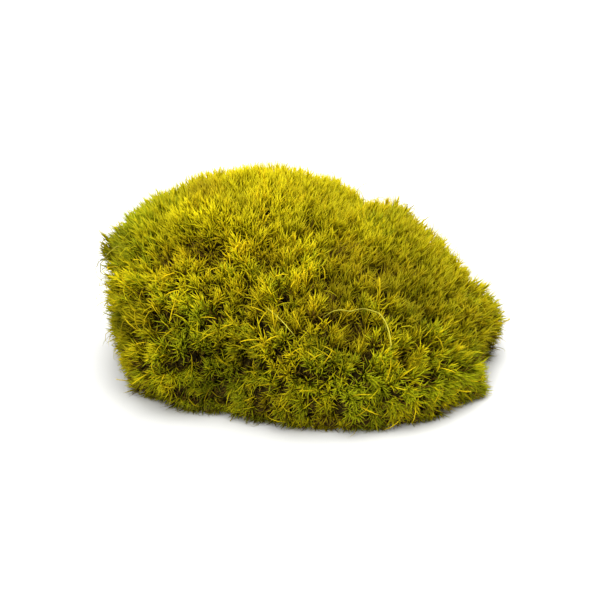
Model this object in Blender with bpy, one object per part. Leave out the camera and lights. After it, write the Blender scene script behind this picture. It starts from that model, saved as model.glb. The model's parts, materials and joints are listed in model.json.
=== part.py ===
"""A cushion of moss, lifted from the ground with the thin mat of dead stems and rhizoids under it.

The green cushion is one grown dome of thousands of upright shoots. Its solid here is the surface that the
shoot tips reach: overlapping swellings that have grown together, cut flat where the mat begins. The mat is a
thin, ragged slab, and the clump rests on its flat underside.

X runs across the clump, Y away from its front, Z up. The origin is on the ground, under the middle of the
clump's box. Lengths are in metres.
"""

import math
from typing import NamedTuple

import bmesh
import bpy
import numpy as np
from mathutils import Vector, noise

MM = 0.001

# Overall size, from tip to tip of the outermost shoots
CLUMP_WIDTH = 100 * MM
CLUMP_DEPTH = 92 * MM
CLUMP_HEIGHT = 47 * MM

# The mat of dead stems under the cushion
MAT_THICKNESS = 3.0 * MM
MAT_INSET = 2.6 * MM
MAT_RAGGEDNESS = 1.3 * MM
MAT_LOBE_SPACING = 4.5 * MM
MAT_POINTS = 72
MAT_EDGE_ROUNDING = 0.9 * MM
GAP = 0.3 * MM
CUSHION_FOOT = MAT_THICKNESS + GAP

# How the swellings of the cushion merge, and how uneven its skin of shoot tips is
CREASE_WIDTH = 3.2 * MM
TUFT_SPACING = 9.0 * MM
TUFT_RELIEF = 0.9 * MM
SKIN_SUBDIVISIONS = 5

# The point that the skin is drawn out from, and the interval of distances that is searched along each way
HEART = Vector((0.0, 0.0, 15 * MM))
SEARCH_NEAR = 4 * MM
SEARCH_FAR = 90 * MM
SEARCH_STEPS = 34

# Finer than anything on the clump: points this close are one point
SAME_POINT = 0.01 * MM
SHARP_FROM = math.radians(50)


class Swelling(NamedTuple):
    """One rounded swelling of the cushion, as an ellipsoid in millimetres before the final fit to size."""

    name: str
    centre: tuple
    radii: tuple


class Hollow(NamedTuple):
    """One dip in the skin of shoot tips, in millimetres: where it lies, how far it spreads, how deep it is."""

    name: str
    centre: tuple
    spread: float
    depth: float


SWELLINGS = (
    Swelling("crown", (-11, 4, 13), (36.5, 37, 34)),
    Swelling("crown_front_lip", (-21, -10, 26), (15, 14, 17)),
    Swelling("left_shoulder", (-36, 2, 21), (15, 25, 18)),
    Swelling("left_foot", (-31, -10, 10), (18, 24, 15)),
    Swelling("right_shoulder", (14, 7, 14), (26, 32, 23)),
    Swelling("right_flank", (21, 0, 10), (29, 34, 18)),
    Swelling("right_foot", (31, -8, 5), (18, 21, 10)),
    Swelling("front_belly", (2, -18, 12), (31, 25, 20)),
    Swelling("front_right_foot", (17, -20, 8), (23, 21, 13)),
    Swelling("back_belly", (-6, 18, 13), (34, 26, 22)),
)
HOLLOWS = (
    Hollow("under_front_lip", (-21, -22, 37), 6.5, 2.8),
    Hollow("shoulder_crease", (-35, -12, 36), 5.5, 2.2),
    Hollow("crown_notch", (17, 6, 44), 6.0, 1.8),
    Hollow("front_pocket", (14, -35, 26), 5.0, 2.0),
    Hollow("foot_pocket", (-19, -40, 11), 8.0, 2.4),
)

MOSS_COLOUR = (0.22, 0.20, 0.012, 1.0)
MAT_COLOUR = (0.055, 0.034, 0.014, 1.0)


def clear_scene():
    """Removes every object that the scene starts with."""
    for obj in list(bpy.data.objects):
        bpy.data.objects.remove(obj, do_unlink=True)


def plain_material(name, colour, roughness):
    """A Principled material of one colour, for a dry plant surface."""
    material = bpy.data.materials.new(name)
    material.use_nodes = True
    shader = material.node_tree.nodes["Principled BSDF"]
    shader.inputs["Base Color"].default_value = colour
    shader.inputs["Roughness"].default_value = roughness
    shader.inputs["Metallic"].default_value = 0.0
    material.diffuse_color = colour
    return material


def distance_outside(points):
    """About how far each point lies outside the merged swellings, in metres; negative inside."""
    nearest = np.zeros(len(points))
    for swelling in SWELLINGS:
        centre = np.array(swelling.centre) * MM
        radii = np.array(swelling.radii) * MM
        scaled = np.linalg.norm((points - centre) / radii, axis=1)
        gap = (scaled - 1) * radii.min()
        nearest += np.exp(-gap / CREASE_WIDTH)
    return -CREASE_WIDTH * np.log(nearest)


def reach_along(directions):
    """How far from HEART the merged swellings reach along each unit direction, by halving the interval."""
    near = np.full(len(directions), SEARCH_NEAR)
    far = np.full(len(directions), SEARCH_FAR)
    for _ in range(SEARCH_STEPS):
        middle = (near + far) / 2
        outside = distance_outside(np.array(HEART) + directions * middle[:, None]) > 0
        far = np.where(outside, middle, far)
        near = np.where(outside, near, middle)
    return (near + far) / 2


def relief(point):
    """How far the skin rises or dips at one of its points: the tufts' unevenness, less the hollows."""
    rise = TUFT_RELIEF * noise.noise(point / TUFT_SPACING)
    for hollow in HOLLOWS:
        away = (point - Vector(hollow.centre) * MM).length / (hollow.spread * MM)
        rise -= hollow.depth * MM * math.exp(-away * away)
    return rise


def build_cushion(material):
    """The green cushion: a fine sphere drawn out to the swellings, fitted to size and cut flat at its foot."""
    skin = bmesh.new()
    bmesh.ops.create_icosphere(skin, subdivisions=SKIN_SUBDIVISIONS, radius=1.0)
    directions = np.array([vertex.co.normalized() for vertex in skin.verts])
    for vertex, direction, reach in zip(skin.verts, directions, reach_along(directions)):
        way = Vector(direction)
        point = HEART + way * reach
        vertex.co = point + way * relief(point)
    fit_above_foot(skin)
    cut_at_foot(skin)
    return object_from(skin, "moss_cushion", material)


def fit_above_foot(skin):
    """Centres the skin on the origin and scales it to the clump's width, depth and height."""
    points = np.array([vertex.co for vertex in skin.verts])
    above = points[points[:, 2] > CUSHION_FOOT]
    low, high = above.min(axis=0), above.max(axis=0)
    scale = (
        CLUMP_WIDTH / (high[0] - low[0]),
        CLUMP_DEPTH / (high[1] - low[1]),
        (CLUMP_HEIGHT - CUSHION_FOOT) / (high[2] - CUSHION_FOOT),
    )
    for vertex in skin.verts:
        vertex.co.x = (vertex.co.x - (low[0] + high[0]) / 2) * scale[0]
        vertex.co.y = (vertex.co.y - (low[1] + high[1]) / 2) * scale[1]
        vertex.co.z = CUSHION_FOOT + (vertex.co.z - CUSHION_FOOT) * scale[2]


def cut_at_foot(skin):
    """Removes what lies below the cushion's foot and closes the cut with one flat face."""
    everything = skin.verts[:] + skin.edges[:] + skin.faces[:]
    cut = bmesh.ops.bisect_plane(
        skin,
        geom=everything,
        dist=SAME_POINT / 10,
        plane_co=(0, 0, CUSHION_FOOT),
        plane_no=(0, 0, 1),
        clear_inner=True,
    )
    rim = [item for item in cut["geom_cut"] if isinstance(item, bmesh.types.BMEdge)]
    bmesh.ops.edgeloop_fill(skin, edges=rim)
    bmesh.ops.remove_doubles(skin, verts=skin.verts[:], dist=SAME_POINT)
    bmesh.ops.recalc_face_normals(skin, faces=skin.faces[:])


def foot_outline(cushion, count):
    """The distance from the origin to the rim of the cushion's flat foot, at evenly spaced angles."""
    rim = [v.co for v in cushion.data.vertices if abs(v.co.z - CUSHION_FOOT) < SAME_POINT]
    angles = np.array([math.atan2(point.y, point.x) for point in rim])
    radii = np.array([math.hypot(point.x, point.y) for point in rim])
    order = np.argsort(angles)
    wanted = -math.pi + 2 * math.pi * np.arange(count) / count
    return wanted, np.interp(wanted, angles[order], radii[order], period=2 * math.pi)


def build_mat(cushion, material):
    """The mat: a ragged outline just inside the cushion's foot, drawn up to its thickness with a softened edge."""
    angles, radii = foot_outline(cushion, MAT_POINTS)
    mat = bmesh.new()
    corners = []
    for angle, radius in zip(angles, radii):
        way = Vector((math.cos(angle), math.sin(angle), 0.0))
        ragged = noise.noise(way * radius / MAT_LOBE_SPACING) * MAT_RAGGEDNESS
        corners.append(mat.verts.new(way * (radius - MAT_INSET + ragged)))
    mat.faces.new(corners)
    lifted = bmesh.ops.extrude_face_region(mat, geom=mat.faces[:])
    top = [item for item in lifted["geom"] if isinstance(item, bmesh.types.BMVert)]
    bmesh.ops.translate(mat, verts=top, vec=(0, 0, MAT_THICKNESS))
    rims = [edge for edge in mat.edges if abs(edge.verts[0].co.z - edge.verts[1].co.z) < SAME_POINT]
    bmesh.ops.bevel(
        mat,
        geom=rims,
        offset=MAT_EDGE_ROUNDING,
        offset_type="OFFSET",
        segments=2,
        affect="EDGES",
    )
    bmesh.ops.recalc_face_normals(mat, faces=mat.faces[:])
    return object_from(mat, "root_mat", material)


def object_from(shape, name, material):
    """Turns a bmesh into a smooth-shaded object in the scene."""
    mesh = bpy.data.meshes.new(name)
    shape.to_mesh(mesh)
    shape.free()
    mesh.materials.append(material)
    mesh.shade_smooth()
    mesh.set_sharp_from_angle(angle=SHARP_FROM)
    obj = bpy.data.objects.new(name, mesh)
    bpy.context.scene.collection.objects.link(obj)
    return obj


def main():
    clear_scene()
    cushion = build_cushion(plain_material("moss", MOSS_COLOUR, 0.85))
    build_mat(cushion, plain_material("dead_stems", MAT_COLOUR, 0.95))


main()
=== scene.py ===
"""A cushion of moss: one dome of leafy shoots, on the thin brown mat of dead stems that it was lifted with.

The frame gives the surface that the shoot tips reach. The shoots are rooted a few millimetres under it, on
the mass of dead stems, coloured near black as painted shade, that shows in the gaps between them, and each
carries a spiral of narrow leaves.
Lengths are in metres, Z is up, and the front of the clump faces -Y.
"""

import json
import logging
import math
from dataclasses import dataclass, field
from enum import Enum
from typing import Callable, Iterable, NamedTuple, Union

import bmesh
import bpy
import numpy as np
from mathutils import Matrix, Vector, noise
from mathutils.bvhtree import BVHTree

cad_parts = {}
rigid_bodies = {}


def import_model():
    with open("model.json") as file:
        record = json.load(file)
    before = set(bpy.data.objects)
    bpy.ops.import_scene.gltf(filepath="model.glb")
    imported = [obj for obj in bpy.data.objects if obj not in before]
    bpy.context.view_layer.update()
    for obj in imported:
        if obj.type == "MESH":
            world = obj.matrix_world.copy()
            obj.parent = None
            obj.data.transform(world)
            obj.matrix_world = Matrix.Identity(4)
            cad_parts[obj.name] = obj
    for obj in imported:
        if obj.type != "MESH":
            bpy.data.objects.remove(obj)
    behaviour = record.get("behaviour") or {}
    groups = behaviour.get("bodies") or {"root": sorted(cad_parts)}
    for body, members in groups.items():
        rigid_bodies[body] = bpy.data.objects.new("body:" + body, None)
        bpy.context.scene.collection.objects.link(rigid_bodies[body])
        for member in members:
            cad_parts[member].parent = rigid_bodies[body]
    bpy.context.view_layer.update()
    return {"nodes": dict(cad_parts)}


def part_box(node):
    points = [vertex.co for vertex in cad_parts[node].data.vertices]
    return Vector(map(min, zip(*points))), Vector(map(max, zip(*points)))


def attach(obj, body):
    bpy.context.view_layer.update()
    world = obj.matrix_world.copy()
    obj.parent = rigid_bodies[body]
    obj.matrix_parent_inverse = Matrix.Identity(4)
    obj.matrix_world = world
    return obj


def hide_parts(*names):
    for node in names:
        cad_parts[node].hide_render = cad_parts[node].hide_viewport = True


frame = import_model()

MM = 0.001
BODY = "root"
CUSHION_NODE = "moss_cushion"
MAT_NODE = "root_mat"
BAKE_MAP = "OFBake"
LEAF_MAP = "leaf"
VECTOR = "FLOAT_VECTOR"
GOLDEN_ANGLE = math.pi * (3 - math.sqrt(5))
# How far a leaf's strip on the map keeps from the next family's, and half its width
EDGE = 0.03
LEAF_STRIP = 0.008
UP = (0.0, 0.0, 1.0)
SEEN_FROM = (0.0, -0.906, 0.423)
# Attributes that the growing needs and the finished pieces don't
NOTES = "way turn vigour tall tone warmth lift spread gather gap age share shade region above".split()
NOTES += ["straight", "shift", "room", "extra", "id"]

Triple = tuple[float, float, float]
Ring = list[bmesh.types.BMVert]
Wire = Union["Field", bpy.types.Node, float, int, str, bool, tuple, bpy.types.ID]
Wires = dict[Union[str, int], Wire]

log = logging.getLogger("moss")


# ----------------------------------------------------------------------------------------------------
# Node trees


class Field:
    """A value in a node tree. Sums and products of fields add nodes, so that a tree reads as formulas."""

    def __init__(self, maker: "TreeMaker", socket: bpy.types.NodeSocket) -> None:
        """Takes the maker of the tree and the output that gives the value."""
        self.maker = maker
        self.socket = socket

    def __add__(self, other: Wire) -> "Field":
        """Adds a number or a vector."""
        return self.maker.sum("ADD", self, other)

    def __radd__(self, other: Wire) -> "Field":
        """Is added to a number or a vector."""
        return self.maker.sum("ADD", other, self)

    def __sub__(self, other: Wire) -> "Field":
        """Takes a number or a vector away."""
        return self.maker.sum("SUBTRACT", self, other)

    def __rsub__(self, other: Wire) -> "Field":
        """Is taken away from a number."""
        return self.maker.sum("SUBTRACT", other, self)

    def __mul__(self, other: Wire) -> "Field":
        """Multiplies by a number, or by a vector part by part."""
        return self.maker.sum("MULTIPLY", self, other)

    def __truediv__(self, other: Wire) -> "Field":
        """Divides by a number."""
        return self.maker.sum("DIVIDE", self, other)

    def __rtruediv__(self, other: Wire) -> "Field":
        """Divides a number."""
        return self.maker.sum("DIVIDE", other, self)

    def __lt__(self, other: Wire) -> "Field":
        """Gives 1 where the value is less, or else 0."""
        return self.maker.sum("LESS_THAN", self, other)

    def __gt__(self, other: Wire) -> "Field":
        """Gives 1 where the value is greater, or else 0."""
        return self.maker.sum("GREATER_THAN", self, other)

    def at_least(self, other: Wire) -> "Field":
        """Gives the greater of two values."""
        return self.maker.sum("MAXIMUM", self, other)

    def at_most(self, other: Wire) -> "Field":
        """Gives the lesser of two values."""
        return self.maker.sum("MINIMUM", self, other)

    def clamped(self) -> "Field":
        """Keeps the value between 0 and 1."""
        return self.maker.field(self.maker.add("ShaderNodeMath", {0: self, 1: 0.0}, use_clamp=True))

    def unit(self) -> "Field":
        """Gives a vector the length one."""
        return self.maker.sum("NORMALIZE", self, (0.0, 0.0, 0.0))

    def remap(self, low: float, high: float, to_low: Wire, to_high: Wire) -> "Field":
        """Takes a range of the value to another range, and keeps it inside."""
        wires = {"Value": self, "From Min": low, "From Max": high, "To Min": to_low, "To Max": to_high}
        return self.maker.value("ShaderNodeMapRange", wires)

    def parts(self) -> list["Field"]:
        """Returns a vector's X, Y and Z."""
        node = self.maker.add("ShaderNodeSeparateXYZ", {"Vector": self})
        return [self.maker.field(node, name) for name in "XYZ"]


class TreeMaker:
    """Adds nodes to one node tree and wires them."""

    def __init__(self, tree: bpy.types.NodeTree) -> None:
        """Takes the tree to add to."""
        self.tree = tree

    def add(self, kind: str, wires: Wires | None = None, **settings: object) -> bpy.types.Node:
        """Adds one node.

        Args:
            kind: The node's Blender type.
            wires: What feeds each input, by the input's name or number.
            settings: The node's own properties.

        Returns:
            The node.
        """
        node = self.tree.nodes.new(kind)
        for name, value in settings.items():
            setattr(node, name, value)
        self.feed(node, wires or {})
        return node

    def feed(self, node: bpy.types.Node, wires: Wires) -> None:
        """Feeds a node's inputs.

        Args:
            node: The node.
            wires: A field, a node or a plain value for each input, by its number, or by its name among those
                in use.
        """
        for key, source in wires.items():
            named = (socket for socket in node.inputs if socket.enabled and socket.name == key)
            socket = node.inputs[key] if isinstance(key, int) else next(named)
            if isinstance(source, bpy.types.Node):
                source = self.field(source)
            if isinstance(source, Field):
                self.tree.links.new(source.socket, socket)
            else:
                socket.default_value = source

    def field(self, node: bpy.types.Node, output: str = "") -> Field:
        """Returns a node's first output in use, or the one of a name."""
        sockets = (socket for socket in node.outputs if socket.enabled)
        return Field(self, next(socket for socket in sockets if output in ("", socket.name)))

    def value(self, kind: str, wires: Wires | None = None, **settings: object) -> Field:
        """Adds one node and returns its first output, with the same arguments as add."""
        return self.field(self.add(kind, wires, **settings))

    def sum(self, operation: str, first: Wire, second: Wire = 0.0) -> Field:
        """Adds a Math node, or a Vector Math node.

        Args:
            operation: What it does, in Blender's word.
            first: The first term.
            second: The second term. A product of a number and a vector, in either order, scales the vector.

        Returns:
            The result.
        """
        vectors = [
            isinstance(term, tuple) or isinstance(term, Field) and term.socket.type in ("VECTOR", "RGBA")
            for term in (first, second)
        ]
        if not any(vectors):
            return self.value("ShaderNodeMath", {0: first, 1: second}, operation=operation)
        if all(vectors) or operation != "MULTIPLY":
            return self.value("ShaderNodeVectorMath", {0: first, 1: second}, operation=operation)
        vector, number = (first, second) if vectors[0] else (second, first)
        return self.value("ShaderNodeVectorMath", {0: vector, "Scale": number}, operation="SCALE")

    def vector(self, x: Wire = 0.0, y: Wire = 0.0, z: Wire = 0.0) -> Field:
        """Puts a vector together."""
        return self.value("ShaderNodeCombineXYZ", {"X": x, "Y": y, "Z": z})

    def ramp(self, value: Wire, stops: Iterable[tuple[float, Triple]]) -> Field:
        """Turns a value into a colour.

        Args:
            value: The value, from 0 to 1.
            stops: The positions on the ramp and their colours.

        Returns:
            The colour.
        """
        node = self.add("ShaderNodeValToRGB", {"Fac": value})
        elements = node.color_ramp.elements
        for number, (position, colour) in enumerate(stops):
            element = elements[number] if number < len(elements) else elements.new(position)
            element.position, element.color = position, (*colour, 1.0)
        return self.field(node)


class FieldMaker(TreeMaker):
    """A Geometry Nodes tree, with its named inputs."""

    SOCKETS = {float: "Float", int: "Int"}

    def __init__(self, name: str, values: dict[str, object]) -> None:
        """Makes the tree.

        Args:
            name: The tree's name.
            values: What the named inputs, besides the geometry, get; it tells their kinds.
        """
        super().__init__(bpy.data.node_groups.new(name, "GeometryNodeTree"))
        face = self.tree.interface
        face.new_socket("Geometry", in_out="INPUT", socket_type="NodeSocketGeometry")
        for title, value in values.items():
            kind = self.SOCKETS.get(type(value), type(value).__name__)
            face.new_socket(title, in_out="INPUT", socket_type="NodeSocket" + kind)
        face.new_socket("Geometry", in_out="OUTPUT", socket_type="NodeSocketGeometry")
        self.source = self.add("NodeGroupInput")

    def given(self, title: str) -> Field:
        """Returns what the modifier gives for a named input."""
        return self.field(self.source, title)

    def read(self, name: str, kind: str = "FLOAT") -> Field:
        """Reads an attribute by its name."""
        return self.value("GeometryNodeInputNamedAttribute", {"Name": name}, data_type=kind)

    def gathered(self, loose: Wire, tight: Wire, full: float = 0.6) -> Field:
        """Goes from a loose value, where the shoots stand evenly, to a tight one, where they form locks."""
        return self.read("gather").remap(0.1, full, loose, tight)

    def store(
        self, geometry: Wire, name: str, value: Wire, kind: str = "FLOAT", domain: str = "POINT"
    ) -> Field:
        """Stores a value on the geometry under a name, and returns the geometry."""
        wires = {"Geometry": geometry, "Name": name, "Value": value}
        return self.value("GeometryNodeStoreNamedAttribute", wires, data_type=kind, domain=domain)

    def chance(self, low: Wire, high: Wire, seed: int, kind: str = "FLOAT") -> Field:
        """Draws a number or a vector between two, for each point."""
        return self.value("FunctionNodeRandomValue", {"Min": low, "Max": high, "Seed": seed}, data_type=kind)

    def stray(self, seed: int) -> Field:
        """Draws a vector between -1 and 1 in each part, for each point."""
        return self.chance((-1.0,) * 3, (1.0,) * 3, seed, VECTOR)

    def drift(self, size: float, shift: float, output: str = "") -> Field:
        """Adds a smooth noise over the place of each point.

        Args:
            size: About how far apart its highs are.
            shift: Where in the noise it starts, so that two noises differ.
            output: Which of the noise's outputs is taken, if not the number.

        Returns:
            The noise.
        """
        place = self.value("GeometryNodeInputPosition") + (shift, shift, shift)
        noise_node = self.add("ShaderNodeTexNoise", {"Vector": place, "Scale": 1 / size, "Detail": 1.0})
        return self.field(noise_node, output)

    def joined(self, layers: Iterable[Field]) -> Field:
        """Joins geometry.

        Args:
            layers: What is joined, in order.

        Returns:
            The whole.
        """
        node = self.add("GeometryNodeJoinGeometry")
        for layer in layers:
            self.feed(node, {0: layer})
        return self.field(node)

    def moved(self, points: Wire, offset: Wire) -> Field:
        """Moves points."""
        return self.value("GeometryNodeSetPosition", {"Geometry": points, "Offset": offset})

    def chosen(self, points: Wire, selection: Wire) -> Field:
        """Keeps the selected points."""
        wires = {"Geometry": points, "Selection": selection}
        return self.value("GeometryNodeSeparateGeometry", wires, domain="POINT")

    def facing(self, tilt: Wire = 0.0, turn: Wire = 0.0) -> Field:
        """Leans what grows upright to the stored way.

        Args:
            tilt: How far it first tilts off its own axis.
            turn: How far it then turns about that axis.

        Returns:
            The rotation.
        """
        way = self.read("way", VECTOR)
        stand = self.value("FunctionNodeAlignRotationToVector", {"Vector": way}, axis="Z")
        spin = self.value("FunctionNodeEulerToRotation", {"Euler": self.vector(tilt, 0.0, turn)})
        wires = {"Rotation": stand, "Rotate By": spin}
        return self.value("FunctionNodeRotateRotation", wires, rotation_space="LOCAL")

    def set_out(self, points: Wire, shapes: str, last: Wire, seed: int, facing: Wire, size: Wire) -> Field:
        """Stands a shape of a collection, drawn by lot, on each point.

        Args:
            points: The points.
            shapes: The input that gives the collection.
            last: The number of its last shape; the first is 0.
            seed: The seed of the draw.
            facing: The rotation of each shape.
            size: Its scale.

        Returns:
            The instances.
        """
        source = {"Collection": self.given(shapes), "Separate Children": True, "Reset Children": True}
        wires = {
            "Points": points,
            "Instance": self.add("GeometryNodeCollectionInfo", source),
            "Pick Instance": True,
            "Instance Index": self.chance(0, last, seed, "INT"),
            "Rotation": facing,
            "Scale": size,
        }
        return self.value("GeometryNodeInstanceOnPoints", wires)

    def finish(self, geometry: Wire) -> bpy.types.NodeTree:
        """Ends the tree with one body of real mesh and its material.

        Args:
            geometry: What the tree has made so far.

        Returns:
            The tree.
        """
        real = self.add("GeometryNodeRealizeInstances", {"Geometry": geometry})
        dressed = self.add("GeometryNodeSetMaterial", {"Geometry": real, "Material": self.given("Finish")})
        self.add("NodeGroupOutput", {"Geometry": dressed})
        return self.tree


def titled(owner: object, names: str) -> dict[str, object]:
    """Returns the values of some fields of an object, each under its name written as a title."""
    return {name.replace("_", " ").title(): getattr(owner, name) for name in names.split()}


def grown(
    name: str, base: bpy.types.Mesh, tree: bpy.types.NodeTree, values: dict[str, object]
) -> bpy.types.Object:
    """Runs a Geometry Nodes tree on a mesh and keeps the result as a plain mesh.

    Args:
        name: The new object's name.
        base: The mesh that the tree starts from.
        tree: The tree.
        values: What each of its named inputs gets.

    Returns:
        The new object, without the modifier.
    """
    bed = placed(name + "_bed", base)
    modifier = bed.modifiers.new("grow", "NODES")
    modifier.node_group = tree
    for item in tree.interface.items_tree:
        if item.in_out == "INPUT" and item.name in values:
            modifier[item.identifier] = values[item.name]
    evaluated = bed.evaluated_get(bpy.context.evaluated_depsgraph_get())
    mesh = bpy.data.meshes.new_from_object(evaluated)
    bpy.data.objects.remove(bed, do_unlink=True)
    mesh.name = name
    return placed(name, mesh)


def collected(name: str, shapes: Iterable[bpy.types.Object]) -> bpy.types.Collection:
    """Puts shapes in a collection that is not in the scene.

    Args:
        name: The collection's name.
        shapes: The shapes.

    Returns:
        The collection.
    """
    collection = bpy.data.collections.new(name)
    for shape in shapes:
        collection.objects.link(shape)
    return collection


def discard(*items: bpy.types.ID) -> None:
    """Removes objects and collections.

    Args:
        items: The objects, and the collections with what is in them.
    """
    for item in items:
        if isinstance(item, bpy.types.Collection):
            discard(*item.objects)
            bpy.data.collections.remove(item)
        else:
            bpy.data.objects.remove(item, do_unlink=True)


def placed(name: str, data: bpy.types.ID) -> bpy.types.Object:
    """Puts an object in the scene, at the origin.

    Args:
        name: Its name.
        data: Its mesh, lamp or camera.

    Returns:
        The object.
    """
    obj = bpy.data.objects.new(name, data)
    bpy.context.scene.collection.objects.link(obj)
    return obj


def bridge(shape: bmesh.types.BMesh, rings: list[Ring]) -> None:
    """Closes the gaps between rings, each with one band of faces.

    Args:
        shape: What the rings belong to.
        rings: The rings, in order, with as many points each.
    """
    for lower, upper in zip(rings, rings[1:]):
        for step in range(len(lower)):
            after = (step + 1) % len(lower)
            shape.faces.new((lower[step], lower[after], upper[after], upper[step]))


def close_up(shape: bmesh.types.BMesh, rings: list[Ring], tip: bmesh.types.BMVert | None = None) -> None:
    """Closes a stack of rings, flat at its foot.

    Args:
        shape: What the rings belong to.
        rings: The rings, from the foot up.
        tip: The point that it ends in; without it, the top is flat too.
    """
    bridge(shape, rings)
    top = rings[-1]
    if tip:
        for step, vertex in enumerate(top):
            shape.faces.new((vertex, top[(step + 1) % len(top)], tip))
    shape.faces.new(rings[0][::-1])
    if not tip:
        shape.faces.new(top)


def as_mesh(shape: bmesh.types.BMesh, name: str, finish: bpy.types.Material | None = None) -> bpy.types.Mesh:
    """Turns a shape into a mesh and frees it.

    Args:
        shape: The shape.
        name: The mesh's name.
        finish: If given, the faces are turned outwards, shaded smooth and dressed in it.

    Returns:
        The mesh.
    """
    if finish:
        bmesh.ops.recalc_face_normals(shape, faces=shape.faces[:])
    mesh = bpy.data.meshes.new(name)
    shape.to_mesh(mesh)
    shape.free()
    if finish:
        mesh.shade_smooth()
        mesh.materials.clear()
        mesh.materials.append(finish)
    return mesh


def keep_maps_only(mesh: bpy.types.Mesh) -> None:
    """Removes what the growing left on a mesh besides its maps.

    Args:
        mesh: The mesh.
    """
    for name in NOTES:
        if name in mesh.attributes:
            mesh.attributes.remove(mesh.attributes[name])
    if BAKE_MAP in mesh.uv_layers:
        mesh.uv_layers.active = mesh.uv_layers[BAKE_MAP]
        mesh.uv_layers[BAKE_MAP].active_render = True


def rest_on_ground(mesh: bpy.types.Mesh, near: float = 1.2 * MM) -> None:
    """Bends what comes near the ground, or would reach below it, up and along it.

    Args:
        mesh: The mesh.
        near: The height below which it bends.
    """
    places = np.empty(len(mesh.vertices) * 3, dtype=np.float32)
    mesh.vertices.foreach_get("co", places)
    heights = places[2::3]
    places[2::3] = np.where(heights < near, near * np.exp(np.minimum(heights / near - 1, 0)), heights)
    mesh.vertices.foreach_set("co", places)
    mesh.update()


# ----------------------------------------------------------------------------------------------------
# Finishes


class Family(Enum):
    """The kinds of leaf colour, each with its own strip of the leaf map."""

    FRESH = 0
    GREEN = 1
    GOLDEN = 2
    WITHERED = 3


class Grades(NamedTuple):
    """The colours of one family of leaves, along the leaf."""

    foot: Triple
    middle: Triple
    tip: Triple


def blank(name: str) -> tuple[bpy.types.Material, TreeMaker, bpy.types.Node]:
    """Makes a material.

    Args:
        name: Its name.

    Returns:
        The material, the maker of its tree and its Principled shader.
    """
    material = bpy.data.materials.new(name)
    material.use_nodes = True
    return material, TreeMaker(material.node_tree), material.node_tree.nodes["Principled BSDF"]


@dataclass(frozen=True)
class LeafFinish:
    """Moss leaves: dull and slightly clear, darker at the foot, with a pale tip."""

    grades: dict[Family, Grades] = field(
        default_factory=lambda: {
            Family.FRESH: Grades((0.17, 0.145, 0.003), (0.54, 0.475, 0.003), (0.80, 0.71, 0.010)),
            Family.GREEN: Grades((0.090, 0.102, 0.003), (0.345, 0.372, 0.004), (0.59, 0.60, 0.014)),
            Family.GOLDEN: Grades((0.20, 0.14, 0.003), (0.62, 0.485, 0.003), (0.88, 0.715, 0.012)),
            Family.WITHERED: Grades((0.05, 0.028, 0.005), (0.20, 0.118, 0.010), (0.41, 0.27, 0.035)),
        }
    )
    middle: float = 0.48
    dimmest: float = 0.45
    brightest: float = 1.25
    clearness: float = 0.5
    shine: float = 0.06
    rib_depth: float = 0.05 * MM

    def build(self) -> bpy.types.Material:
        """Makes the material.

        Returns:
            The material. It reads the family and the place along the leaf from U, and the tone, with its
            painted light and shade, from V.
        """
        material, nodes, shader = blank("moss_leaf")
        place = nodes.value("ShaderNodeUVMap", uv_map=BAKE_MAP)
        along, tone, _ = place.parts()
        strip = along * float(len(Family))
        share = nodes.sum("FRACT", strip)
        colour = None
        for family, grade in self.grades.items():
            own = nodes.ramp(share, ((0.0, grade.foot), (self.middle, grade.middle), (1.0, grade.tip)))
            if colour:
                wires = {"Factor": strip > float(family.value), "A": colour, "B": own}
                own = nodes.value("ShaderNodeMix", wires, data_type="RGBA")
            colour = own
        mottle = nodes.value("ShaderNodeTexNoise", {"Vector": place, "Scale": 60.0, "Detail": 3.0})
        level = tone.remap(0.0, 1.0, self.dimmest, self.brightest) * mottle.remap(0.3, 0.7, 0.9, 1.1)
        toned = nodes.value("ShaderNodeHueSaturation", {"Color": colour, "Value": level})
        own_map = nodes.add("ShaderNodeUVMap", uv_map=LEAF_MAP)
        rib = nodes.add("ShaderNodeTexWave", {"Vector": own_map, "Scale": 1.2})
        bump = nodes.add("ShaderNodeBump", {"Height": rib, "Strength": 0.25, "Distance": self.rib_depth})
        wires = {
            "Base Color": toned,
            "Roughness": mottle.remap(0.3, 0.7, 0.55, 0.8),
            "Normal": bump,
            "Specular IOR Level": self.shine,
        }
        nodes.feed(shader, wires)
        clear = nodes.add("ShaderNodeBsdfTranslucent", {"Color": toned})
        mixed = nodes.add("ShaderNodeMixShader", {0: self.clearness, 1: shader, 2: clear})
        nodes.feed(material.node_tree.nodes["Material Output"], {"Surface": mixed})
        return material


def crumb_group() -> bpy.types.NodeTree:
    """The broken, crumbly tone of dead plant matter, for every brown finish.

    Returns:
        A shader group: a place and a scale in, a patchy colour factor and a fine height out.
    """
    tree = bpy.data.node_groups.new("crumbly_matter", "ShaderNodeTree")
    face = tree.interface
    face.new_socket("Place", in_out="INPUT", socket_type="NodeSocketVector")
    face.new_socket("Grain Size", in_out="INPUT", socket_type="NodeSocketFloat")
    face.new_socket("Patch", in_out="OUTPUT", socket_type="NodeSocketFloat")
    face.new_socket("Height", in_out="OUTPUT", socket_type="NodeSocketFloat")
    nodes = TreeMaker(tree)
    source = nodes.add("NodeGroupInput")
    scale = 1.0 / nodes.field(source, "Grain Size")
    fine, coarse = (
        nodes.value("ShaderNodeTexNoise", {"Vector": source, "Scale": scale * share, "Detail": detail})
        for share, detail in ((1.0, 4.0), (0.2, 2.0))
    )
    nodes.add("NodeGroupOutput", {"Patch": fine * 0.5 + coarse * 0.5, "Height": fine})
    return tree


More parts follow.
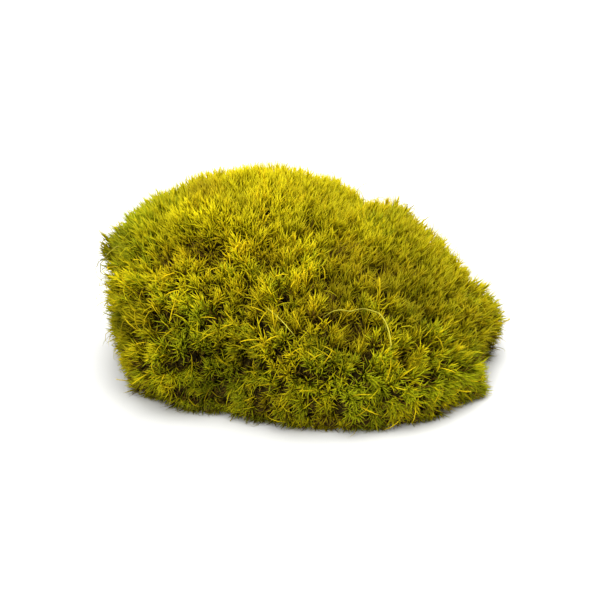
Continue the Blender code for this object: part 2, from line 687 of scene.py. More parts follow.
@dataclass(frozen=True)
class CrumblyFinish:
    """Dead stems, rhizoids and humus: matt, patchy and rough, with their grain and relief in millimetres."""

    name: str
    dark: Triple
    middle: Triple
    pale: Triple
    grain: float
    relief: float
    shine: float
    roughness: tuple[float, float] = (0.8, 0.98)

    def build(self, group: bpy.types.NodeTree) -> bpy.types.Material:
        """Makes the material.

        Args:
            group: The shader group of crumbly matter.

        Returns:
            The material.
        """
        material, nodes, shader = blank(self.name)
        matter = nodes.add("ShaderNodeGroup", node_tree=group)
        place = nodes.field(nodes.add("ShaderNodeTexCoord"), "Object")
        nodes.feed(matter, {"Place": place, "Grain Size": self.grain * MM})
        patch, height = nodes.field(matter, "Patch"), nodes.field(matter, "Height")
        wires = {
            "Base Color": nodes.ramp(patch, ((0.36, self.dark), (0.5, self.middle), (0.66, self.pale))),
            "Roughness": patch.remap(0.35, 0.65, *self.roughness),
            "Normal": nodes.add("ShaderNodeBump", {"Height": height, "Distance": self.relief * MM}),
            "Specular IOR Level": self.shine,
        }
        nodes.feed(shader, wires)
        return material


# ----------------------------------------------------------------------------------------------------
# The bed that the shoots are rooted in


class Swell(NamedTuple):
    """A place where the real skin of shoot tips stands out from the frame's, or lies in it, in millimetres.

    The steeper it is, the sharper is its edge.
    """

    name: str
    centre: Triple
    spread: float
    rise: float
    steep: float = 2.0

    def at(self, place: Vector) -> float:
        """Returns how far the skin stands out at a place, in metres."""
        away = (place / MM - Vector(self.centre)).length / self.spread
        return self.rise * MM * math.exp(-(away**self.steep))


SWELLS = (
    Swell("yellow_front_lip", (-26, -10, 43.8), 8.2, 2.6, 6.0),
    Swell("hollow_under_lip_left", (-27, -18.8, 39.4), 3.2, -2.6),
    Swell("hollow_under_lip_right", (-20.7, -20.5, 38.2), 3.0, -2.2),
    Swell("hollow_under_shoulder", (-34.2, -18.4, 35.4), 2.6, -2.0),
    Swell("hollow_right_of_lip", (-10.4, -23.2, 37.4), 2.8, -1.4),
    Swell("pocket_on_right_flank", (20, -16.7, 32.2), 2.8, -1.8),
    Swell("middle_pocket", (13, -35.6, 24.4), 3.4, -3.6),
    Swell("low_middle_pocket", (-15.6, -32.6, 27.7), 2.6, -1.2),
    Swell("pocket_over_left_foot", (-13.2, -39.6, 16.4), 2.6, -1.4),
    Swell("foot_pocket_left", (-9.9, -41.9, 8.4), 2.6, -1.4),
    Swell("foot_pocket_right", (7.4, -45.6, 6.5), 2.6, -1.6),
    Swell("upper_left_flank", (-42, 15, 35), 4.0, -0.8),
    Swell("upper_left_rim", (-48, 9, 28), 6.0, 2.2),
    Swell("crown_furrow_front", (16.6, 17, 36.5), 3.4, -3.2),
    Swell("crown_furrow_middle", (16.6, 23, 35), 3.4, -3.4),
    Swell("crown_furrow_back", (16.6, 29, 32), 3.4, -3.0),
    Swell("upper_right_flank", (39, 15, 21), 9.0, -2.0),
    Swell("right_rim", (49.5, 3, 11), 6.0, 2.6),
    Swell("rim_notch", (49.5, -9, 3), 5.6, -5.4),
    Swell("rim_notch_front", (48.8, -17, 6), 5.4, -6.4),
    Swell("foot_spur", (46.5, -24, 1), 3.2, 4.4),
    Swell("right_foot", (37, -31, 3), 7.0, -1.8),
    Swell("foot_recess", (-20, -38, 12), 6.0, -2.4),
    Swell("left_foot", (-47, -12, 3), 9.0, -2.2),
    Swell("lower_left_foot", (-36, -31, 3), 9.0, -2.6),
    Swell("foot_tuft_left", (-16, -40, 5), 3.8, 1.6),
    Swell("foot_tuft_middle", (-6.5, -44, 6), 3.5, 1.0),
    Swell("foot_tuft_right", (15.5, -46, 5), 4.2, 1.4),
)


def towards_the_front(vectors: np.ndarray) -> np.ndarray:
    """Returns how far each vector reaches along the line of sight from the front."""
    return np.sum(vectors * np.array(SEEN_FROM), axis=1)


class Patch(NamedTuple):
    """A part of the cushion that differs from the rest, in millimetres: how far its leaves shift.

    The steeper it is, the sharper is its edge; the calmer, the more even are its shoots.
    """

    name: str
    centre: Triple
    spread: float
    # tone is mostly painted light and shade: how much lighter or darker the leaves are painted there
    tone: float
    warmth: float = 0.0
    vigour: float = 0.0
    calm: float = 0.0
    steep: float = 2.0

    def shares(self, places: np.ndarray) -> np.ndarray:
        """Tells how strongly the patch holds at each of the places.

        It is round as it is seen from the front, and reaches further along that line of sight than across it.

        Args:
            places: The places, in metres.

        Returns:
            1 in its middle, and less and less outwards.
        """
        away = places / MM - np.array(self.centre)
        along = towards_the_front(away)
        apart = np.sqrt(np.maximum(np.sum(away * away, axis=1) - 0.85 * along * along, 0))
        return np.exp(-((apart / self.spread) ** self.steep))


def pocket(
    name: str, centre: Triple, spread: float = 2.8, warmth: float = 0.45, tone: float = -0.30
) -> Patch:
    """Returns a small gap between the tufts, with few and short shoots and brown old leaves, their tone
    painted darker as the shade in the gap.
    """
    return Patch(name, centre, spread, tone, warmth, vigour=-0.40, steep=2.5)


def shade(name: str, centre: Triple) -> Patch:
    """Returns a small part of the line of painted shade under the front lip: short shoots whose leaves are
    painted dim.
    """
    return Patch(name, centre, spread=2.0, tone=-0.34, warmth=0.05, vigour=-0.22)


# The tone column is mostly painted light and shade: the patches named light, bright, dim, dark or shade, and
# the pockets, paint the light and the shade that fall there onto the leaves. Warmth is the leaves' own
# colour, and vigour their length.
PATCHES = (
    Patch("yellow_front_lip", (-26.5, -9, 44.5), 9.6, 0.06, 0.0, 0.08, 1.0, 5.0),
    Patch("bright_lip_edge_left", (-29.6, -8.9, 41.9), 3.0, 0.30, -0.05, 0.05),
    Patch("bright_lip_edge_middle", (-26, -13.6, 42.9), 3.0, 0.42, 0.0, 0.05),
    Patch("bright_lip_edge_right", (-21.5, -15.6, 43.6), 3.0, 0.42, 0.0, 0.05),
    Patch("bright_lip_end", (-17.5, -15.6, 44.2), 2.8, 0.22),
    Patch("golden_spot_on_lip", (-24.3, -3.6, 45.2), 3.6, -0.80, 0.50),
    Patch("light_on_crown", (-11, 3, 46.8), 5.0, 0.14),
    Patch("light_below_crown", (-7.6, -8, 45), 4.2, 0.22),
    Patch("dim_behind_lip", (-15.6, -12.4, 45.4), 4.0, -0.28),
    Patch("dim_right_of_crown_top", (6, -4.5, 42.4), 6.5, -0.18),
    Patch("dim_by_furrow", (24.6, 3, 36), 3.5, -0.28),
    Patch("even_spot_on_lip", (-31.9, 0, 42.4), 5.0, -0.18),
    Patch("golden_crown_band", (-6, 2, 47), 24.0, -0.02, 0.10, 0.0, 0.45),
    Patch("upper_left_rim", (-36, 4, 41), 13.0, -0.10, -0.05, 0.0, 0.6),
    Patch("upper_right_inside", (25, -11, 31), 11.0, -0.28, 0.04, 0.0, 0.5),
    Patch("right_inside", (32, -21, 25), 10.0, -0.30, 0.12, 0.0, 0.2),
    Patch("golden_right_rim", (40, 2, 26), 14.0, -0.02, 0.04, 0.05, 0.8),
    Patch("right_edge", (40.5, -20.6, 18), 8.0, -0.22, 0.06),
    Patch("left_rim", (-49, -7, 29), 8.0, -0.60),
    Patch("lower_left_rim", (-47, -21, 17), 6.0, -0.56),
    Patch("green_left_shoulder", (-44, -1, 34.4), 10.5, 0.04, -0.34, 0.05),
    Patch("left_flank", (-36, -20, 29), 10.0, 0.08, 0.07),
    Patch("green_band_on_the_left", (-28, -33.4, 21.8), 5.6, 0.0, -0.45),
    Patch("brownish_right_of_middle", (9, -29, 29), 12.0, -0.16, 0.14),
    Patch("dark_above_middle", (8.4, -30.2, 30.2), 4.2, -0.72, 0.0, -0.10),
    Patch("dark_below_middle", (4.4, -41.6, 21), 5.2, -0.56),
    Patch("light_in_dark_front", (2.4, -44.4, 16), 3.4, 0.24, 0.0, 0.30),
    Patch("dark_left_below_middle", (-12.4, -38.4, 20.4), 3.6, -0.42, 0.05),
    Patch("dark_right_of_middle", (17.6, -22, 31), 5.0, -0.26, 0.05),
    Patch("light_left_of_middle", (-8.6, -39.6, 21), 3.2, 0.18, 0.0, 0.05),
    Patch("dim_low_middle", (-5.7, -38.9, 24.3), 2.6, -0.40),
    Patch("light_on_the_left", (-22.4, -31.6, 27), 3.6, 0.30, -0.05, 0.35),
    Patch("dim_on_the_left", (-22.3, -28.5, 30.3), 2.8, -0.50),
    Patch("light_on_left_rim", (-40.8, -19.6, 27), 4.4, 0.36, 0.0, 0.30),
    Patch("dim_on_left_rim", (-40.6, -26, 20.4), 5.4, -0.40),
    Patch("dim_under_the_left", (-20.8, -35.2, 22), 3.4, -0.26),
    Patch("light_over_right_foot", (17, -43, 17), 4.4, 0.25, -0.10, 0.05),
    Patch("light_on_right_foot", (25.5, -39.2, 18), 4.4, 0.15, 0.0, 0.05),
    Patch("light_column_top", (0.9, -20.5, 37.5), 3.2, 0.28, 0.0, 0.04),
    Patch("light_column_foot", (0.9, -26, 33.9), 3.2, 0.28, 0.0, 0.04),
    Patch("light_beside_column", (0.8, -27.6, 32.8), 3.0, 0.30, 0.0, 0.35),
    Patch("dim_below_column", (4.1, -31.5, 29.9), 2.8, -0.40),
    Patch("light_slant", (-6.8, -31, 31.2), 3.4, 0.50, 0.0, 0.45),
    Patch("dim_beside_slant", (-0.4, -33.2, 29.2), 3.4, -0.40),
    Patch("light_on_middle", (4, -35.8, 26.8), 3.2, 0.36, 0.20, 0.35),
    Patch("light_beside_pocket", (19.4, -31, 26.6), 2.8, 0.35, 0.0, 0.05),
    Patch("light_under_the_hook", (17.6, -39.4, 20.6), 3.2, 0.30, 0.0, 0.35),
    Patch("dim_on_right_flank", (27.3, -29.6, 23.8), 3.8, -0.62),
    Patch("dim_on_low_right", (27.3, -38.4, 17.6), 2.8, -0.36),
    Patch("dim_left_of_flank", (23.9, -34.8, 22.3), 2.6, -0.40),
    Patch("dim_above_right_foot", (10.7, -43.5, 18.3), 2.6, -0.36),
    Patch("dim_right_of_crown", (7.6, -19, 35.8), 3.2, -0.40),
    Patch("dim_on_crown_front", (-1, -14, 41), 3.6, -0.22),
    Patch("dim_under_crown", (-8.6, -26.6, 34.6), 4.2, -0.40),
    Patch("dim_left_of_slant", (-13.4, -31, 29.6), 3.0, -0.36),
    Patch("light_under_crown", (-15.7, -23.6, 36.2), 3.2, 0.32, -0.05, 0.30),
    Patch("light_end_of_lip", (-15.7, -18.7, 41.8), 2.8, 0.26, 0.0, 0.05),
    Patch("dim_over_right_edge", (39.6, -29.4, 14.8), 4.6, -0.42, -0.12),
    Patch("dim_foot_line", (-7.5, -41.6, 3.4), 5.0, -0.60),
    Patch("light_on_low_right", (30.8, -35.1, 18.4), 3.4, 0.26, 0.0, 0.35),
    Patch("light_by_right_foot", (24.6, -43, 8.4), 3.6, 0.50, 0.0, 0.10),
    Patch("light_on_low_front", (-6.6, -41.2, 20.8), 2.8, 0.30, 0.0, 0.35),
    Patch("light_on_the_far_left", (-27.3, -29, 28.4), 4.0, 0.30, -0.10, 0.20),
    Patch("warm_over_foot", (10, -42.2, 20.2), 3.6, -0.14, 0.30),
    Patch("dim_on_foot_front", (-2.4, -44.9, 12.6), 3.4, -0.46),
    Patch("light_under_lip", (-16, -21, 39), 3.4, 0.28, 0.0, 0.15),
    Patch("light_left_of_crown_foot", (-18.4, -26.8, 33), 3.0, 0.30, 0.0, 0.05),
    Patch("brown_streak_left", (13.4, -20.4, 33.6), 2.8, -0.05, 0.45),
    Patch("brown_streak_right", (26, -14.6, 30.6), 2.6, -0.05, 0.35),
    Patch("brown_right_of_crown", (11.6, -15.4, 36.2), 2.8, -0.10, 0.55),
    Patch("plain_between_streaks", (13, -24.6, 32), 3.0, 0.0, -0.10),
    Patch("dark_on_right_flank", (20.2, -17.2, 31.9), 2.6, -0.40, 0.45, -0.10),
    Patch("green_right_foot", (39, -32, 6), 9.0, 0.55, -0.25, 0.05),
    Patch("lower_left_flank", (-34, -34, 13), 7.0, 0.08, -0.10, 0.10),
    Patch("tall_on_lower_left", (-31.2, -35, 14), 5.0, 0.05, 0.0, 0.35),
    Patch("green_foot", (10, -44, 6), 19.0, 0.20, -0.18),
    Patch("green_foot_left", (-19, -37, 8.6), 5.0, 0.0, -0.60),
    Patch("green_foot_right", (11.2, -46, 8.4), 3.6, 0.05, -0.45),
    Patch("green_foot_far_right", (19, -44.4, 12.8), 3.4, 0.14, -0.45),
    Patch("rim_notch", (47, -9, 3), 4.5, -0.10, 0.0, -0.20),
    Patch("foot_tuft_left", (-15, -39.5, 8), 3.6, 0.25, 0.0, 0.05),
    Patch("foot_tuft_middle", (-4.5, -44, 9), 3.4, 0.20, 0.10, 0.05),
    Patch("foot_tuft_right", (15, -46, 5), 4.0, 0.15, -0.10, 0.05),
    Patch("dark_foot_pocket", (-21.6, -37, 10.2), 6.2, -0.78, -0.10, -0.12),
    Patch("foot_spur", (46, -25, 3), 5.0, 0.70, -0.15, -0.15),
    Patch("over_foot_spur", (46, -20, 8), 4.0, 0.0, 0.0, -0.30),
    shade("shade_under_lip_left", (-33.6, -9.4, 39.7)),
    shade("shade_under_lip_middle", (-30.4, -13, 40)),
    shade("shade_under_lip_centre", (-27.6, -16.3, 40.6)),
    shade("shade_under_lip_right", (-24.4, -18, 41)),
    shade("shade_under_lip_far_right", (-20.8, -18.6, 41.3)),
    pocket("hollow_under_lip_left", (-27.2, -19, 39), 2.9, 0.80, -0.40),
    pocket("hollow_under_lip_right", (-21.2, -21.6, 37), 2.9, 0.80, -0.56),
    pocket("hollow_under_shoulder", (-33.8, -19.4, 35.2), 3.2, 0.85, -0.50),
    pocket("pocket_right_of_lip", (-12.4, -22.3, 38.4), 2.0, 0.4),
    pocket("pocket_left_of_middle", (-8.2, -24, 36.6), 2.4, 0.65, -0.45),
    pocket("crown_pocket", (2.5, -12, 41), 2.2),
    pocket("pocket_right_of_crown", (8.3, -17.7, 36.3)),
    pocket("pocket_on_right_flank", (20, -16.7, 32.2), 3.0),
    pocket("right_pocket", (27.4, -24.2, 26.5), 3.4, 0.1),
    pocket("middle_pocket", (12.8, -35.8, 24.4), 3.3, 0.95, -0.55),
    Patch("dim_under_middle_pocket", (13.2, -38, 23), 2.8, -0.70, 0.20, -0.15),
    pocket("pocket_above_middle", (7.6, -30.4, 30), 3.0, 0.5),
    Patch("brown_beside_middle", (2.5, -36.9, 26.4), 3.0, 0.34, 0.50, 0.10),
    pocket("left_pocket", (-23.9, -28.3, 30.2), 2.4),
    pocket("low_middle_pocket", (-15.6, -32.6, 27.7)),
    pocket("low_left_pocket", (-31.4, -32.6, 21), 2.4, 0.0),
    pocket("low_right_pocket", (30.5, -38.1, 15.7), 2.4, 0.1),
    pocket("pocket_over_left_foot", (-13.2, -39.6, 16.4), warmth=0.1),
    pocket("foot_pocket_left", (-10.4, -41.9, 8.6), 2.8, 0.55, -0.42),
    pocket("foot_pocket_right", (6.8, -45.5, 5), 3.2, 0.55, -0.80),
    pocket("far_foot_pocket", (17, -45.4, 8.4), 2.6, 0.1, -0.45),
    pocket("farthest_foot_pocket", (20.6, -44.7, 11.6), 2.2, 0.1),
    pocket("back_pocket", (-12, 34, 30), 3.6),
    pocket("back_right_pocket", (18, 30, 26), 3.6),
    pocket("back_foot_pocket", (4, 42, 12), 3.6),
)


class Region(Enum):
    """The parts of the cushion whose shoots are one mesh each, to keep every mesh light enough."""

    CROWN_FRONT = 0
    CROWN_BACK = 1
    FRONT = 2
    RIGHT = 3
    BACK = 4
    LEFT = 5


def rows(items: bpy.types.bpy_prop_collection, name: str) -> np.ndarray:
    """Reads a vector from each item of a mesh.

    Args:
        items: The items, such as the mesh's points.
        name: What the vector is called there.

    Returns:
        An array with a row for each item.
    """
    values = np.empty(len(items) * 3)
    items.foreach_get(name, values)
    return values.reshape(-1, 3)


@dataclass
class ShootBed:
    """The surface that the shoots are rooted in, a little under the one that their tips reach."""

    depth: float = 7.6 * MM
    foot_depth: float = 3.4 * MM
    shallow_below: float = 11 * MM
    smoothing_rounds: int = 6
    level_below: float = 12 * MM
    skirt_foot: float = 0.5 * MM
    tips_foot: float = -2 * MM
    crown_from: float = 27 * MM
    side_bias: float = 0.9
    gather: float = 0.60
    top_lift: float = 0.30
    foot_lift: float = -0.75
    seen_depth: float = 2.5 * MM
    least_facing: float = 0.45
    hale_from: float = 0.2
    whole_height: float = 40 * MM
    high_from: float = 22 * MM
    high_over: float = 16 * MM

    def build(self) -> tuple[bpy.types.Mesh, bpy.types.Mesh, bpy.types.Mesh]:
        """Makes the bed.

        Returns:
            The bed, an open mesh with what its shoots are like, that goes down beside the mat; the surface
            that the tips reach, with the shifts of the patches; and the bed without what lies beside the mat.
        """
        shell = self.shell()
        tips = shell.copy()
        self.lengthen(tips, self.tips_foot)
        skin = as_mesh(tips, "shoot_tips")
        self.mark(skin)
        self.sink(shell)
        heart = as_mesh(shell.copy(), "heart")
        self.lengthen(shell, self.skirt_foot)
        bed = as_mesh(shell, "shoot_bed")
        self.paint(bed)
        return bed, skin, heart

    def mark(self, skin: bpy.types.Mesh) -> None:
        """Gives the surface of the tips the shifts of all patches, in tone (painted light and shade), warmth
        and vigour, as one vector.

        The patches lie where they are seen from the front. What is seen of a shoot there is its body, so the
        shifts at its tip are those of the place in front of its body.

        Args:
            skin: The surface of the tips.
        """
        tips, normals = rows(skin.vertices, "co"), rows(skin.vertices, "normal")
        upright = np.clip(tips[:, 2] / self.shallow_below, 0, 1)
        ways = rows(skin.attributes["straight"].data, "vector")
        ways = ways + self.top_lift * upright[:, None] * np.array(UP)
        ways /= np.linalg.norm(ways, axis=1)[:, None]
        facing = np.clip(towards_the_front(normals), self.least_facing, 1)
        ahead = np.sum(ways * normals, axis=1) / facing
        places = tips + self.seen_depth * (ahead[:, None] * np.array(SEEN_FROM) - ways)
        shifts = np.zeros(tips.shape)
        for patch in PATCHES:
            shifts += np.outer(patch.shares(places), (patch.tone, patch.warmth, patch.vigour))
        skin.attributes.new("shift", VECTOR, "POINT").data.foreach_set("vector", shifts.ravel())

    @staticmethod
    def lengthen(shell: bmesh.types.BMesh, foot: float) -> None:
        """Lets the open rim of the shell down, as a skirt, whose faces always come in the same order.

        Args:
            shell: The shell.
            foot: The height of the skirt's lower edge.
        """
        rim = [edge.verts[:] for edge in shell.edges if edge.is_boundary]
        below = {}
        for vertex in (vertex for pair in rim for vertex in pair):
            if vertex not in below:
                below[vertex] = shell.verts.new((vertex.co.x, vertex.co.y, foot), vertex)
        for first, second in rim:
            shell.faces.new((first, second, below[second], below[first]))
        bmesh.ops.recalc_face_normals(shell, faces=shell.faces[:])

    @staticmethod
    def foot() -> float:
        """Returns the height of the cushion's flat foot."""
        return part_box(CUSHION_NODE)[0][2]

    def shell(self) -> bmesh.types.BMesh:
        """Makes the surface that the tips reach.

        Returns:
            The frame's cushion as one welded surface, with its swells, without its flat foot. Each point
            keeps its place as "above", and the way straight out of the cushion as "straight".
        """
        shell = bmesh.new()
        shell.from_mesh(frame["nodes"][CUSHION_NODE].data)
        bmesh.ops.remove_doubles(shell, verts=shell.verts[:], dist=0.01 * MM)
        shell.normal_update()
        foot = self.foot() + 0.05 * MM
        flat = [face for face in shell.faces if max(vertex.co.z for vertex in face.verts) < foot]
        bmesh.ops.delete(shell, geom=flat, context="FACES")
        bmesh.ops.subdivide_edges(shell, edges=shell.edges[:], cuts=1, use_grid_fill=True)
        shell.normal_update()
        above = shell.verts.layers.float_vector.new("above")
        straight = shell.verts.layers.float_vector.new("straight")
        for vertex, way in zip(shell.verts, self.straight_ways(shell)):
            level = Vector((vertex.normal.x, vertex.normal.y, max(0.0, vertex.normal.z)))
            vertex.co += level * sum(swell.at(vertex.co) for swell in SWELLS)
            vertex[above] = vertex.co
            vertex[straight] = way
        shell.normal_update()
        return shell

    def straight_ways(self, shell: bmesh.types.BMesh) -> list[Vector]:
        """Finds the way straight out of the cushion at each point.

        Args:
            shell: The cushion's surface.

        Returns:
            The ways, smoothed over their neighbours, and level near the ground.
        """
        shell.verts.index_update()
        ways = [vertex.normal.copy() for vertex in shell.verts]
        for _ in range(self.smoothing_rounds):
            ways = [
                sum((ways[edge.other_vert(vertex).index] for edge in vertex.link_edges), ways[vertex.index])
                for vertex in shell.verts
            ]
            ways = [way.normalized() for way in ways]
        foot = self.foot()
        rises = [min(1.0, max(0.0, vertex.co.z - foot) / self.level_below) for vertex in shell.verts]
        lifts = [way.z * rise if way.z > 0 else way.z * rise * rise for way, rise in zip(ways, rises)]
        return [Vector((way.x, way.y, lift)).normalized() for way, lift in zip(ways, lifts)]

    def sink(self, shell: bmesh.types.BMesh) -> None:
        """Moves the shell inwards by the depth of the shoots, which is less near the ground.

        Each point then keeps as "room" how much more room there is for the shoots' tips than for their feet.

        Args:
            shell: The surface that the tips reach, which becomes the bed.
        """
        room = shell.verts.layers.float.new("room")
        straight = shell.verts.layers.float_vector["straight"]
        areas = [sum(face.calc_area() for face in vertex.link_faces) for vertex in shell.verts]
        foot = self.foot()
        for vertex in shell.verts:
            share = min(1.0, (vertex.co.z - foot) / self.shallow_below)
            depth = self.foot_depth + (self.depth - self.foot_depth) * share * share * (3 - 2 * share)
            vertex.co -= vertex[straight] * depth
        for vertex, area in zip(shell.verts, areas):
            vertex[room] = area / sum(face.calc_area() for face in vertex.link_faces)

    def region_at(self, place: Vector) -> Region:
        """Tells which region a place is in.

        Args:
            place: The place, on the bed.

        Returns:
            The region.
        """
        if place.z > self.crown_from:
            return Region.CROWN_FRONT if place.y < 0 else Region.CROWN_BACK
        if abs(place.x) > self.side_bias * abs(place.y):
            return Region.RIGHT if place.x > 0 else Region.LEFT
        return Region.FRONT if place.y < 0 else Region.BACK

    def paint(self, mesh: bpy.types.Mesh) -> None:
        """Gives each face its region, and each point what its shoots are like.

        Args:
            mesh: The bed.
        """
        regions = [self.region_at(face.center).value for face in mesh.polygons]
        mesh.attributes.new("region", "INT", "FACE").data.foreach_set("value", regions)
        places = rows(mesh.vertices, "co")
        above, ways = (rows(mesh.attributes[name].data, "vector") for name in ("above", "straight"))
        height = np.clip(places[:, 2] / self.whole_height, 0, 1)
        low = np.clip(1 - places[:, 2] / self.shallow_below, 0, 1)
        high = np.clip((places[:, 2] - self.high_from) / self.high_over, 0, 1)
        lift = self.top_lift + self.foot_lift * low
        ways = ways + lift[:, None] * np.array(UP)
        depths = np.linalg.norm(above - places, axis=1) / np.linalg.norm(ways, axis=1)
        tips = places + ways * depths[:, None]
        calm = 0.85 * high - 0.3 * low + sum(patch.calm * patch.shares(tips) for patch in PATCHES)
        hale = (patch for patch in PATCHES if patch.vigour > self.hale_from)
        sums = {
            "tone": 0.54 - 0.20 * low * low,
            "warmth": 0.37 + 0.08 * height,
            "vigour": 1.04 + 0.04 * high,
            "lift": lift,
            "spread": 0.9 * low,
            "age": 0.45 * low * low,
            "gap": 0.13 + 0.07 * low - 0.11 * high,
            "gather": self.gather * (1 - 0.85 * np.clip(calm, -0.3, 1)),
            "extra": sum(2 * patch.vigour * patch.shares(tips) for patch in hale),
        }
        for name, values in sums.items():
            mesh.attributes.new(name, "FLOAT", "POINT").data.foreach_set("value", values)


# ----------------------------------------------------------------------------------------------------
# Shoots


@dataclass(frozen=True)
class LeafBlade:
    """One moss leaf: a narrow blade with a keel, bent outwards, that tapers to a fine tip."""

    length: float = 4.6 * MM
    width: float = 0.40 * MM
    keel: float = 0.13 * MM
    bend: float = 0.4
    widths: tuple[float, ...] = (1.0, 0.8)
    stations: tuple[float, ...] = (0.0, 0.52)

    def build(self, name: str, finish: bpy.types.Material) -> bpy.types.Object:
        """Makes the leaf, growing up from the origin, with its inner face towards +Y.

        Args:
            name: The object's name.
            finish: Its material.

        Returns:
            The leaf, closed and shaded smooth, with its own map: U along it and V across it.
        """
        shape = bmesh.new()
        map_layer = shape.loops.layers.uv.new(LEAF_MAP)
        rings, along = [], {}
        for station, share in zip(self.stations, self.widths):
            middle, way = self.spine(station)
            half = Vector((self.width * share / 2, 0, 0))
            out = Vector((0, -way.z, way.y)) * self.keel * share
            rings.append([shape.verts.new(middle + offset) for offset in (-half, out, half)])
            along.update((vertex, (station, across)) for vertex, across in zip(rings[-1], (0.0, 0.5, 1.0)))
        tip = shape.verts.new(self.spine(1.0)[0])
        along[tip] = (1.0, 0.5)
        close_up(shape, rings, tip)
        for face in shape.faces:
            for loop in face.loops:
                loop[map_layer].uv = along[loop.vert]
        return bpy.data.objects.new(name, as_mesh(shape, name, finish))

    def spine(self, share: float) -> tuple[Vector, Vector]:
        """Finds a place on the leaf's middle line.

        Args:
            share: How far along the leaf it is.

        Returns:
            The place, and the way that the leaf points there.
        """
        turn = self.bend * share
        radius = self.length / self.bend
        place = Vector((0, -radius * (1 - math.cos(turn)), radius * math.sin(turn)))
        return place, Vector((0, -math.sin(turn), math.cos(turn)))


def wisp(length: float, width: float, bend: float) -> LeafBlade:
    """Returns a long, thin leaf that curls over its neighbours."""
    return LeafBlade(length, width, 0.10 * MM, bend, (0.9, 1.0, 0.8, 0.55), (0.0, 0.25, 0.5, 0.75))


@dataclass(frozen=True)
class ShootStem:
    """The bare stem of a shoot, one metre long, to be scaled to the shoot's own length."""

    foot_radius: float = 0.26 * MM
    top_radius: float = 0.16 * MM
    sides: int = 4
    middle: float = 0.4

    def build(self, name: str, finish: bpy.types.Material) -> bpy.types.Object:
        """Makes the stem, from just below the origin to its top.

        Args:
            name: The object's name.
            finish: Its material.

        Returns:
            The stem, with the same kind of map as a leaf.
        """
        shape = bmesh.new()
        radii = {"radius1": self.foot_radius, "radius2": self.top_radius}
        bmesh.ops.create_cone(shape, cap_ends=True, segments=self.sides, depth=1.0, **radii)
        bmesh.ops.translate(shape, verts=shape.verts[:], vec=(0, 0, self.middle))
        map_layer = shape.loops.layers.uv.new(LEAF_MAP)
        for face in shape.faces:
            face.smooth = abs(face.normal.z) < 0.5
            for loop in face.loops:
                across = math.atan2(loop.vert.co.y, loop.vert.co.x) / math.pi
                loop[map_layer].uv = (0.2 + 0.3 * (loop.vert.co.z > 0), 0.5 + 0.5 * across)
        mesh = as_mesh(shape, name)
        mesh.materials.append(finish)
        return bpy.data.objects.new(name, mesh)


